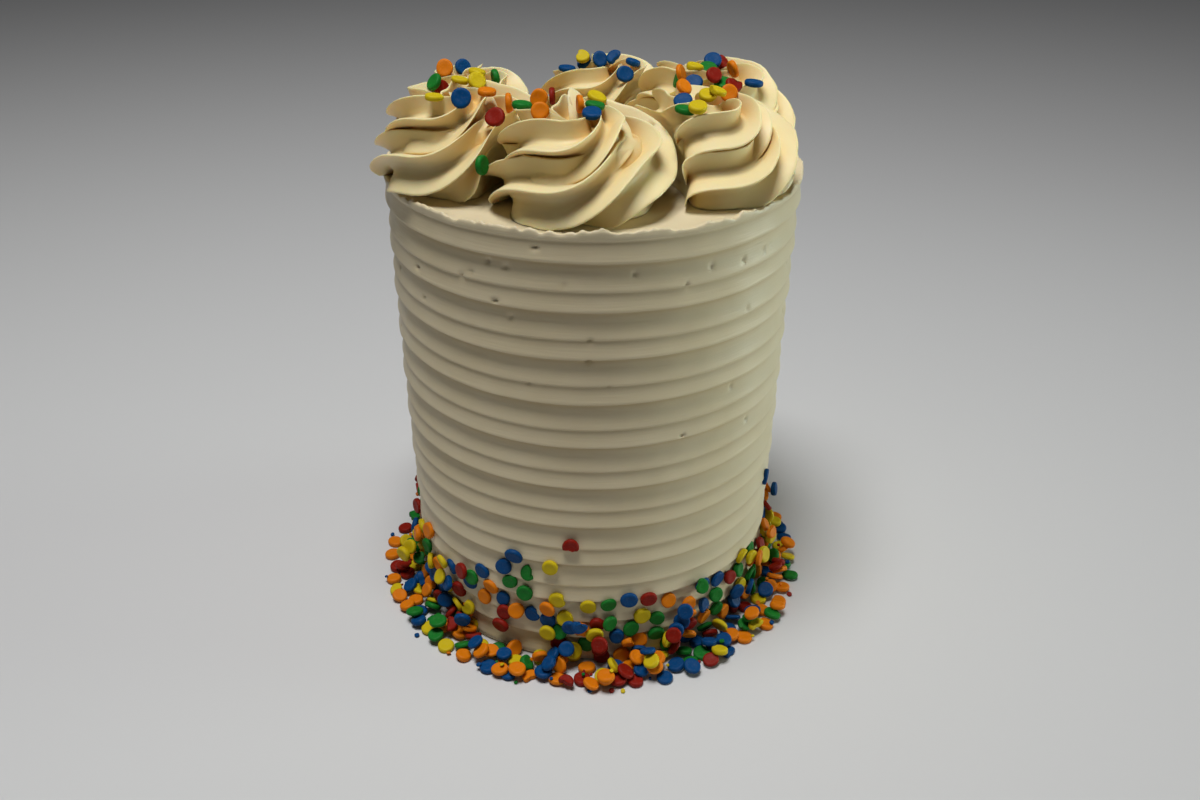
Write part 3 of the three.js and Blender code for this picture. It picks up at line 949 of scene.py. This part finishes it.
def tablet_shape(draw):
    """Rings over a tablet of radius 1 and half thickness 1: across, along, and up its axis."""
    turns = np.arange(TABLET_SIDES) / TABLET_SIDES * 2 * np.pi
    oval = 1 + draw.uniform(0, OVAL) * np.cos(2 * turns + draw.uniform(0, ANY_PHASE))
    oval += draw.uniform(0, THREE_SIDED) * np.cos(3 * turns + draw.uniform(0, ANY_PHASE))
    profile = np.array([(r, -z) for r, z in TABLET_PROFILE] + [*TABLET_PROFILE[-2::-1]])
    x, y = profile[:, :1] * oval * np.cos(turns), profile[:, :1] * oval * np.sin(turns)
    if draw.uniform() < CHIPPED_SHARE:
        x = np.minimum(x, draw.uniform(*CHIPPED_AT) + CHIP_RAGGED * np.sin(5 * turns))
    bend = draw.uniform(-BENT, BENT)
    wedge = 1 + WEDGED * np.cos(turns + draw.uniform(0, ANY_PHASE))
    return x, y, profile[:, 1:] * wedge + bend * x * y


print("rings over a tablet:", len(tablet_shape(np.random.default_rng(0))[0]))

# %% The mesh of one tablet where it lies
MOST_UPRIGHT = 0.9


def axes_across(axis):
    """Two directions at right angles to an axis and to each other."""
    helper = UP if abs(axis[2]) < MOST_UPRIGHT else np.array([1.0, 0, 0])
    first = np.cross(helper, axis)
    first /= np.linalg.norm(first)
    return first, np.cross(axis, first)


def tablet_mesh(middle, axis, radius, half, draw):
    """Points and faces of one tablet, slightly out of round and out of flat."""
    x, y, z = tablet_shape(draw)
    first, second = axes_across(axis)
    spin = draw.uniform(0, 2 * np.pi)
    first, second = (
        math.cos(spin) * first + math.sin(spin) * second,
        math.cos(spin) * second - math.sin(spin) * first,
    )
    rings = middle + radius * (x[..., None] * first + y[..., None] * second)
    rings = rings + half * z[..., None] * axis
    dimple = half * DIMPLE * axis
    return closed_rings(rings, middle - dimple, middle + dimple)


print("directions across one that leans:", *axes_across(np.array([0.6, 0, 0.8])))

# %% The tablets laid so far
PROBES = 12
# Where the probes lie, as shares of the radius and of half the thickness.
PROBED_RIM, PROBED_FACE, PROBED_EDGE = 0.97, 0.7, 0.5
# Two tablets pass through each other where a probe is within these shares of the other's size.
SOLID_RADIUS, SOLID_HALF = 0.97, 0.93
# Tablets whose middles are farther apart than this, in millimetres, can't touch.
NEIGHBOURHOOD = 2 * TABLET_RADIUS + 0.8


def probes(middle, axis, radius, half):
    """Points on a tablet's skin: round its rim, and round the top of each face."""
    first, second = axes_across(axis)
    turns = np.arange(PROBES) / PROBES * 2 * np.pi
    ring = np.cos(turns)[:, None] * first + np.sin(turns)[:, None] * second
    rim, face = PROBED_RIM * radius * ring, PROBED_FACE * radius * ring
    edge, top = PROBED_EDGE * half * axis, half * axis
    return middle + np.concatenate([rim + edge, rim - edge, face + top, face - top, [top, -top]])


def any_inside(off, along, radius, half):
    """Whether a point at this offset from a tablet's middle, and along its axis, is inside it."""
    across = (off**2).sum(-1) - along**2
    level, near = np.abs(along) < SOLID_HALF * half, across < (SOLID_RADIUS * radius) ** 2
    return bool(np.any(level & near))


class Pile:
    """All tablets laid so far, in arrays, so that one call tests a new one against them all."""

    def __init__(self, room):
        self.colours = []
        self.middles, self.axes = np.zeros((room, 3)), np.zeros((room, 3))
        self.radii, self.halves = np.zeros(room), np.zeros(room)
        self.skins = np.zeros((room, 4 * PROBES + 2, 3))

    def near(self, middle):
        count = len(self.colours)
        off = np.abs(self.middles[:count] - middle).max(1)
        return np.nonzero(off < NEIGHBOURHOOD)[0]

    def clashes(self, middle, axis, radius, half, skin):
        """Whether a tablet here would pass through one that is already laid."""
        at = self.near(middle)
        if not len(at):
            return False
        off = skin[None] - self.middles[at][:, None]
        along = np.einsum("npk,nk->np", off, self.axes[at])
        if any_inside(off, along, self.radii[at][:, None], self.halves[at][:, None]):
            return True
        off = self.skins[at] - middle
        return any_inside(off, off @ axis, radius, half)

    def lay(self, colour, middle, axis, radius, half):
        i = len(self.colours)
        self.colours.append(colour)
        self.middles[i], self.axes[i], self.radii[i], self.halves[i] = middle, axis, radius, half
        self.skins[i] = probes(middle, axis, radius, half)

    def loneliest(self, places):
        """Of several places, the one that is farthest from every tablet laid so far."""
        if not self.colours:
            return places[0]
        off = np.linalg.norm(self.middles[: len(self.colours)] - places[:, None], axis=-1)
        return places[off.min(1).argmax()]


print("probes on a tablet:", len(probes(UP, UP, TABLET_RADIUS, TABLET_HALF)))

# %% Settle one tablet: the tilt that lets it lie deepest wins
# Tilts that are tried, and how far the tablet moves at a time and in all, in millimetres.
TRIES = 6
CREEP = 0.3
FARTHEST = 12
# Below 1, so that more tilts are steep than flat.
TIP_POWER = 0.7


def settle(pile, colour, starts, axes, size, away, blocked):
    """Moves a tablet until it is free, from each start with its tilt, and lays the best one."""
    best, least = None, FARTHEST
    for start, axis in zip(starts, axes):
        middle, moved = start, 0.0
        while moved < least:
            skin = probes(middle, axis, *size)
            if not blocked(skin) and not pile.clashes(middle, axis, *size, skin):
                break
            moved += CREEP
            middle = start + moved * away
        if moved < least:
            best, least = (middle, axis), moved
    if best:
        pile.lay(colour, *best, *size)


def tipped(direction, most, draw):
    """A direction tipped by up to an angle, in radians, towards a drawn side."""
    first, second = axes_across(direction)
    turn, tip = draw.uniform(0, 2 * np.pi), most * draw.uniform() ** TIP_POWER
    side = math.cos(turn) * first + math.sin(turn) * second
    return math.cos(tip) * direction + math.sin(tip) * side


print("steps of a tablet at most:", round(FARTHEST / CREEP))

# %% [markdown]
# The hand that decorated the cake pressed most confetti to the lower side and let the rest fall.
# So the side comes first: the tablets that strayed upwards are placed one by one, and then the
# belt below them is filled. Each new tablet picks the loneliest of a few random places, which
# fills a belt evenly without the clumps and holes that plain random numbers leave.

# %% The colours, and where tablets stick to the side
# The share of the tablets that has each colour.
COLOURS = {"blue": 0.19, "green": 0.2, "yellow": 0.2, "orange": 0.26, "red": 0.15}
# Angle round the cake in degrees and height in millimetres of the tablets that stand out.
STRAYS = {
    "blue": ((-113, 47), (-117, 40), (-118, 24), (-125, 34), (-79, 30), (-54, 27), (-47, 25),
             (-18, 53), (-139, 27), (-108, 21), (-131, 25)),
    "green": ((-109, 40), (-115, 34), (-110, 31), (-56, 29), (-28, 26), (-85, 28), (-129, 29)),
    "yellow": ((-102, 45), (-100, 30), (-35, 28), (-30, 24), (-142, 28), (-91, 27), (-98, 21)),
    "orange": ((-66, 25), (-59, 21), (-103, 26), (-122, 28)),
    "red": ((-96, 55), (-132, 31), (-73, 29), (-41, 22), (-117, 19), (-118, 13), (-136, 18)),
}
# How far at most such a tablet tips off the wall, in radians.
STRAY_TILT = 0.35
# Each belt: tablets, lowest and highest place in mm, how they crowd downwards, their steepest
# tilt off the wall in radians, and how many places each chooses from.
BELT = {"count": 240, "bottom": 3, "top": 23, "power": 1.0, "tilt": 0.8, "candidates": 5}
UPPER_BELT = {"count": 44, "bottom": 21, "top": 40, "power": 1.9, "tilt": 0.7, "candidates": 2}
# Angles, in degrees, between which nothing is added above or below a height in millimetres.
PLACED_BY_HAND = {"from": -148, "to": -12, "bottom": 23}
BARE_PATCH = {"from": -127, "to": -104, "top": 20}


def drawn_colour(draw):
    return draw.choice(list(COLOURS), p=list(COLOURS.values()))


def left_bare(azimuth, z):
    """Whether no tablet of a belt goes to this angle, in degrees, and this height."""
    by_hand = PLACED_BY_HAND["from"] < azimuth < PLACED_BY_HAND["to"]
    in_patch = BARE_PATCH["from"] < azimuth < BARE_PATCH["to"]
    return (by_hand and z > PLACED_BY_HAND["bottom"]) or (in_patch and z < BARE_PATCH["top"])


print("tablets placed one by one:", sum(len(places) for places in STRAYS.values()))

# %% Press tablets to the side
# How deep a tablet may press into the icing of the side, in millimetres.
PRESSED_IN = 0.5


def wall_reach(z):
    """The radius of the combed side at each height."""
    cut = tooth_depth(((z - LOWEST_LIP) / COMB_PITCH) % 1) * COMB_DEPTH
    return wall_radius(z) - np.where(z < 0, 0, cut)


def wall_clearance(skin):
    return (np.hypot(skin[:, 0], skin[:, 1]) - wall_reach(skin[:, 2])).min()


def into_wall(skin):
    return wall_clearance(skin) < -PRESSED_IN


def on_wall(azimuth, z):
    """Points on the side, at angles in degrees and heights in millimetres."""
    return outward(np.radians(azimuth)) * wall_radius(z)[..., None] + UP * z[..., None]


def press_to_wall(pile, colour, place, tilt, draw):
    side = place * [1, 1, 0] / np.hypot(*place[:2])
    axes = [tipped(side, tilt, draw) for _ in range(TRIES)]
    starts = [place - side * COMB_DEPTH] * TRIES
    settle(pile, colour, starts, axes, new_size(draw), side, into_wall)


def fill_belt(pile, belt, draw):
    """Presses the tablets of a belt to the wall, each to the loneliest of a few places."""
    count = belt["candidates"]
    for _ in range(belt["count"]):
        azimuths = draw.uniform(-180, 180, count)
        heights = mix(belt["bottom"], belt["top"], draw.uniform(size=count) ** belt["power"])
        free = [i for i in range(count) if not left_bare(azimuths[i], heights[i])]
        if free:
            place = pile.loneliest(on_wall(azimuths[free], heights[free]))
            press_to_wall(pile, drawn_colour(draw), place, belt["tilt"], draw)


def confetti_on_side(pile, draw):
    for colour, places in STRAYS.items():
        for azimuth, z in places:
            press_to_wall(pile, colour, on_wall(azimuth, np.float64(z)), STRAY_TILT, draw)
    for belt in (BELT, UPPER_BELT):
        fill_belt(pile, belt, draw)


print("the wall's radius 30 mm up:", round(float(wall_reach(30.0)), 1), "mm")

# %% [markdown]
# The rest lies in a heap round the foot, steep and deep against the wall and thin at its edge. A
# rigid-body simulation could pour it, but its result can change from one run or version to the
# next. Here each tablet tries a few tilts instead and rises from the floor until it is free, and
# it keeps the tilt in which it lies lowest.

# %% Confetti heaped round the foot
# The ring that the heap covers, in mm, how it crowds inwards, and how many places each tablet
# chooses from. Between two distances from the axis its tablets lie flatter and flatter.
HEAP = {"count": 300, "inner": 74, "outer": 87, "power": 1.2, "candidates": 5}
HEAP_TILT = {"from": 78, "to": 87, "steepest": 1.3, "flattest": 0.35}
CRUMBS = {"count": 70, "inner": 77, "outer": 90, "radius": (0.4, 1.1), "half": 0.4, "tilt": 1.0}
ABOVE_FLOOR = 0.02


def below_floor(skin):
    return skin[:, 2].min() < ABOVE_FLOOR


def drop(pile, colour, place, steepest, size, draw):
    """Lets a tablet come to rest on the floor or on the heap, clear of the wall."""
    side = place * [1, 1, 0] / np.hypot(*place[:2])
    axes = [tipped(UP, steepest, draw) for _ in range(TRIES)]
    starts = []
    for axis in axes:
        start = place + UP * size[1]
        starts.append(start + side * max(0, -wall_clearance(probes(start, axis, *size))))
    settle(pile, colour, starts, axes, size, UP, below_floor)


def confetti_heap(pile, draw):
    count = HEAP["candidates"]
    for _ in range(HEAP["count"]):
        out = mix(HEAP["inner"], HEAP["outer"], draw.uniform(size=count) ** HEAP["power"])
        place = pile.loneliest(outward(draw.uniform(0, 2 * np.pi, count)) * out[:, None])
        spread = smoothstep(np.hypot(*place[:2]), HEAP_TILT["from"], HEAP_TILT["to"])
        steepest = mix(HEAP_TILT["steepest"], HEAP_TILT["flattest"], spread)
        drop(pile, drawn_colour(draw), place, steepest, new_size(draw), draw)


def crumbs(pile, draw):
    for _ in range(CRUMBS["count"]):
        direction = outward(draw.uniform(0, 2 * np.pi))
        place = direction * draw.uniform(CRUMBS["inner"], CRUMBS["outer"])
        size = (draw.uniform(*CRUMBS["radius"]), CRUMBS["half"])
        drop(pile, drawn_colour(draw), place, CRUMBS["tilt"], size, draw)


print("the heap is", HEAP["outer"] - HEAP["inner"], "mm wide, for", HEAP["count"], "tablets")

# %% [markdown]
# On each rosette a pinch of confetti fell round the peak, and the folds of the icing caught it.
# Those tablets stand out against the pale icing, so each is placed one by one. The easiest way to
# do
# that is through the camera: a line of sight through the tablet's place in the picture is cut with
# the icing, and the tablet is drawn back along that line until it only presses into the icing and
# clears its neighbours. So it lies on the rosette seen from any side.

# %% The camera
# In millimetres: how far in front of the cake's axis and how high it stands, its lens, and the
# nearest thing that it sees.
CAMERA_DISTANCE = 408.2
CAMERA_HEIGHT = 302.8
CAMERA_PITCH = math.radians(29.14)
CAMERA_YAW = math.radians(0.435)
CAMERA_ROLL = math.radians(0.425)
LENS = 34.42
NEAREST_SEEN = 10


def camera():
    made = bpy.data.objects.new("camera", bpy.data.cameras.new("camera"))
    bpy.context.scene.collection.objects.link(made)
    made.data.lens = LENS
    made.data.clip_start = NEAREST_SEEN * MM
    aim = Matrix.Rotation(-CAMERA_YAW, 4, "Z") @ Matrix.Rotation(math.pi / 2 - CAMERA_PITCH, 4, "X")
    stand = Matrix.Translation(Vector((0, -CAMERA_DISTANCE, CAMERA_HEIGHT)) * MM)
    made.matrix_world = stand @ aim @ Matrix.Rotation(CAMERA_ROLL, 4, "Z")
    return made


bpy.context.scene.camera = camera()
print("camera at", [round(v, 3) for v in bpy.context.scene.camera.matrix_world.translation])

# %% The line of sight through a place in the picture
FRAME_WIDTH, FRAME_HEIGHT = 1200, 800


def sight(across, down):
    """From the camera through a point of its picture, counted in pixels from the top left."""
    eye = bpy.context.scene.camera
    per_pixel = eye.data.sensor_width / FRAME_WIDTH
    x, y = (across - FRAME_WIDTH / 2) * per_pixel, (FRAME_HEIGHT / 2 - down) * per_pixel
    direction = eye.matrix_world.to_3x3() @ Vector((x, y, -LENS))
    return eye.matrix_world.translation.copy(), direction.normalized()


print("the middle of the picture looks along", sight(FRAME_WIDTH / 2, FRAME_HEIGHT / 2)[1])

# %% Where tablets show on the rosettes
# Each tablet's place in the picture in pixels, and its tilt and the way it faces in degrees.
TOPPINGS = {
    "blue": (
        (463, 67, 60, -60), (461, 98, 70, -90), (592, 113, 15, -90), (567, 60, 5, 0),
        (584, 62, 45, -150), (598, 59, 60, -80), (614, 57, 45, -120), (633, 62, 15, 0),
        (627, 74, 58, -75), (683, 101, 30, -100), (694, 82, 40, -90), (713, 60, 35, -90),
        (754, 83, 5, 0),
    ),
    "green": (
        (434, 82, 50, -140), (495, 77, 85, 20), (522, 105, 5, 0), (595, 105, 10, 0),
        (484, 165, 85, -25), (685, 110, 10, 0), (723, 83, 20, -90), (708, 70, 25, -90),
        (678, 80, 75, 180),
    ),
    "yellow": (
        (479, 72, 10, 0), (477, 81, 50, -60), (460, 80, 15, 0), (434, 97, 5, 0),
        (597, 97, 20, -30), (582, 52, 35, -100), (698, 107, 20, -90), (708, 95, 20, -90),
        (717, 91, 15, 0), (695, 67, 10, 0),
    ),
    "orange": (
        (443, 67, 62, -90), (487, 92, 5, 0), (509, 103, 85, 0), (539, 98, 80, -100),
        (540, 111, 65, -95), (580, 104, 88, 10), (731, 93, 60, -80), (684, 87, 45, -40),
        (681, 73, 70, -20), (733, 69, 70, 20),
    ),
    "red": (
        (442, 89, 70, -40), (499, 119, 55, -110), (552, 96, 88, 0), (734, 84, 40, -60),
        (714, 75, 50, -60), (723, 63, 50, -30),
    ),
}
# Steps in the picture, in pixels, that are tried in turn when a tablet finds no room at its place.
NUDGES = (
    (0, 0), (-2, 0), (2, 0), (0, -2), (0, 2), (-4, -2), (4, -2), (-4, 2), (4, 2), (0, -5), (-7, 0),
    (7, 0), (0, 5), (-6, -5), (6, -5), (0, -8), (-10, 0), (10, 0),
)
print("tablets on the rosettes:", sum(len(places) for places in TOPPINGS.values()))

# %% The icing that they fall on
# A lip of a rosette is only about a millimetre thick, so a tablet may press in less there.
LIP_PRESSED_IN = 0.2
# Icing farther than this from a probe, in millimetres, isn't looked at.
PROBE_REACH = 1.5


class Icing:
    """All rosettes, for the questions that a falling tablet asks."""

    def __init__(self):
        graph = bpy.context.evaluated_depsgraph_get()
        self.trees = [BVHTree.FromObject(made, graph) for made in rosettes.values()]

    def hit(self, eye, direction):
        """The nearest point of the icing on a line of sight, in millimetres, or None."""
        found = [tree.ray_cast(eye, direction) for tree in self.trees]
        found = [(distance, place) for place, _, _, distance in found if place]
        return np.array(min(found)[1]) / MM if found else None

    def holds(self, skin):
        """Whether any of the points is pressed in too deep."""
        for point in map(Vector, skin * MM):
            for tree in self.trees:
                near, normal, _, _ = tree.find_nearest(point, PROBE_REACH * MM)
                if near and (point - near).dot(normal) < -LIP_PRESSED_IN * MM:
                    return True
        return self.pierces(skin)

    def pierces(self, skin):
        """Whether a thin lip passes through the middle of the tablet, between those points."""
        rim = (skin[:PROBES] + skin[PROBES : 2 * PROBES]) / 2 * MM
        for apart in (PROBES // 2, PROBES // 3):
            for start, end in zip(rim, np.roll(rim, -apart, axis=0)):
                chord = Vector(end - start)
                for tree in self.trees:
                    if tree.ray_cast(Vector(start), chord.normalized(), chord.length)[0]:
                        return True
        return False


print("rosettes that can catch a tablet:", len(Icing().trees))

# %% Confetti on the rosettes
# How far below a tablet's place icing is looked for, in pixels, and a pixel's size at the cake.
FARTHEST_BELOW = 40
PIXEL_AT_CAKE = 0.34
# Where no icing shows behind its middle, a tablet on edge stands this far up, and a flat one less.
MOST_RAISED = 2.4


def icing_at(icing, across, down, tip):
    """Where a tablet seen at this place starts from, and the way back to the camera."""
    for below in range(FARTHEST_BELOW):
        eye, direction = sight(across, down + below)
        start = icing.hit(eye, direction)
        if start is not None:
            break
    raised = min(below * PIXEL_AT_CAKE, MOST_RAISED * math.sin(tip))
    return start + raised * UP, -np.array(direction)


def confetti_on_rosettes(pile, draw):
    icing = Icing()
    for colour, places in TOPPINGS.items():
        for across, down, tilt, facing in places:
            tip = math.radians(tilt)
            axis = math.cos(tip) * UP + math.sin(tip) * outward(math.radians(facing))
            size, laid = new_size(draw), len(pile.colours)
            for right, lower in NUDGES:
                start, back = icing_at(icing, across + right, down + lower, tip)
                settle(pile, colour, [start], [axis], size, back, icing.holds)
                if len(pile.colours) > laid:
                    break
            else:
                print("no room for", colour, across, down)


print("pixels that a standing tablet is wide:", round(2 * TABLET_RADIUS / PIXEL_AT_CAKE))

# %% Lay all the confetti
ROOM_IN_PILE = 700
pile = Pile(ROOM_IN_PILE)
draw = np.random.default_rng(21)
confetti_on_side(pile, draw)
confetti_heap(pile, draw)
crumbs(pile, draw)
confetti_on_rosettes(pile, np.random.default_rng(33))
print("tablets and crumbs laid:", len(pile.colours))

# %% [markdown]
# ## Pressed sugar
# Pressed sugar is powder bound with gum and food colour, stamped and dried. It is opaque with a
# soft sheen, and its skin is chalky and a little paler where sugar dust sticks. Deep food colours
# are nearly saturated, so the dust has to stay faint, or the tablets turn to pastel.

# %% Pressed sugar
SUGAR_HEX = {
    "blue": "#003F72",
    "green": "#166F24",
    "yellow": "#C6AE12",
    "orange": "#D47406",
    "red": "#82180A",
}
# The dust: its colour, how strongly it pales the skin at most, where the noise passes from none
# to full dust, and the size of its patches.
DUST_HEX = "#E8DCC8"
DUST = 0.03
DUST_FROM, DUST_FULL = 0.5, 0.8
DUST_MM = 0.9
# Grains of powder are finer than 0.1 mm, and drawn three times as coarse, so that they show.
POWDER_MM = 0.3
POWDER_HEIGHT = 0.06
POWDER_STRENGTH = 0.6
# A dry pressed skin is half rough. Sugar crystals bend light like glass, but powder hardly shines.
SUGAR_ROUGHNESS = 0.5
SUGAR_IOR = 1.5
SUGAR_SPECULAR = 0.12


def pressed_sugar(name, colour):
    material, tree, shader = new_material(name)
    place = node(tree, "ShaderNodeTexCoord").outputs["Object"]
    dusty = node(
        tree, "ShaderNodeTexNoise", {"Vector": place, "Scale": per_mm(DUST_MM), "Detail": 3}
    ).outputs["Fac"]
    powder = node(
        tree, "ShaderNodeTexNoise", {"Vector": place, "Scale": per_mm(POWDER_MM), "Detail": 1}
    ).outputs["Fac"]
    share = node(
        tree,
        "ShaderNodeMapRange",
        {"Value": dusty, "From Min": DUST_FROM, "From Max": DUST_FULL, "To Max": DUST},
    ).outputs["Result"]
    dusted = node(
        tree,
        "ShaderNodeMix",
        {"Factor": share, 6: linear(colour), 7: linear(DUST_HEX)},
        data_type="RGBA",
    ).outputs[2]
    bumpy = node(
        tree,
        "ShaderNodeBump",
        {"Height": powder, "Strength": POWDER_STRENGTH, "Distance": POWDER_HEIGHT * MM},
    ).outputs["Normal"]
    tree.links.new(dusted, shader.inputs["Base Color"])
    tree.links.new(bumpy, shader.inputs["Normal"])
    shader.inputs["Roughness"].default_value = SUGAR_ROUGHNESS
    shader.inputs["IOR"].default_value = SUGAR_IOR
    shader.inputs["Specular IOR Level"].default_value = SUGAR_SPECULAR
    return material


sugars = {name: pressed_sugar("pressed_sugar_" + name, SUGAR_HEX[name]) for name in COLOURS}
print("pressed sugar:", [sugar.name for sugar in sugars.values()])

# %% Join the tablets, one piece for each colour
def confetti_piece(colour):
    """One object of all tablets of a colour, none of which passes below the floor."""
    draw = np.random.default_rng(len(colour))
    points, faces, count = [], [], 0
    for i in range(len(pile.colours)):
        if pile.colours[i] == colour:
            own = tablet_mesh(pile.middles[i], pile.axes[i], pile.radii[i], pile.halves[i], draw)
            own[0][:, 2] = np.maximum(own[0][:, 2], 0)
            points.append(own[0])
            faces += [[corner + count for corner in face] for face in own[1]]
            count += len(own[0])
    made = mesh_object("confetti_" + colour, np.concatenate(points), faces, sugars[colour])
    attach(made, "root")
    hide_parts("cake", *ROSETTES)
    print(made.name, len(faces), "faces")


for colour in COLOURS:
    confetti_piece(colour)

# %% [markdown]
# ## Floor and light
# The cake stands on a plain pale floor. A soft lamp high above, a little to the front and the left,
# does most of the work: it rakes down the side, so that every lip of the comb throws a shadow on
# the band below. A low window on the right brightens that side of the wall, and the pale floor
# throws light back up at the front.

# %% Floor
# Matt paper: pulp fibres scatter the light, so it shows no reflection of the cake.
PAPER_HEX = "#CFCECD"
PAPER_ROUGHNESS = 0.8
FLOOR_REACH = 20000


def floor():
    material, _, shader = new_material("matt_paper")
    shader.inputs["Base Color"].default_value = linear(PAPER_HEX)
    shader.inputs["Roughness"].default_value = PAPER_ROUGHNESS
    corners = FLOOR_REACH * np.array([(-1, -1, 0), (1, -1, 0), (1, 1, 0), (-1, 1, 0)])
    made = mesh_object("floor", corners, [[0, 1, 2, 3]], material)
    return made


print(floor().name, "reaches", FLOOR_REACH * MM, "m each way")

# %% Lights
def lamp(name, place, target, size, power, colour, spread):
    """A square lamp of this size in mm, power in watts, and spread of its light in degrees."""
    light = bpy.data.lights.new(name, "AREA")
    light.size = size * MM
    light.energy = power
    light.color = linear(colour)[:3]
    light.spread = math.radians(spread)
    made = bpy.data.objects.new(name, light)
    bpy.context.scene.collection.objects.link(made)
    made.location = Vector(place) * MM
    towards = (Vector(target) - Vector(place)).normalized()
    made.rotation_euler = towards.to_track_quat("-Z", "Y").to_euler()
    return made


lamps = [
    lamp("ceiling", (-130, -230, 1430), (0, 0, 100), 500, 10.2, "#FDFEFF", spread=140),
    lamp("window", (1500, 112, 131), (0, 0, 100), 675, 1.27, "#EEFFF8", spread=40),
]
print("lamps:", [made.name for made in lamps])

# %% The room round the floor, and how colours are shown
ROOM_HEX = "#E4E6EA"
ROOM_STRENGTH = 0.06
world = bpy.data.worlds.new("studio")
world.use_nodes = True
background = world.node_tree.nodes["Background"]
background.inputs["Color"].default_value = linear(ROOM_HEX)
background.inputs["Strength"].default_value = ROOM_STRENGTH
bpy.context.scene.world = world
bpy.context.scene.view_settings.view_transform = "Standard"
print("view transform:", bpy.context.scene.view_settings.view_transform)
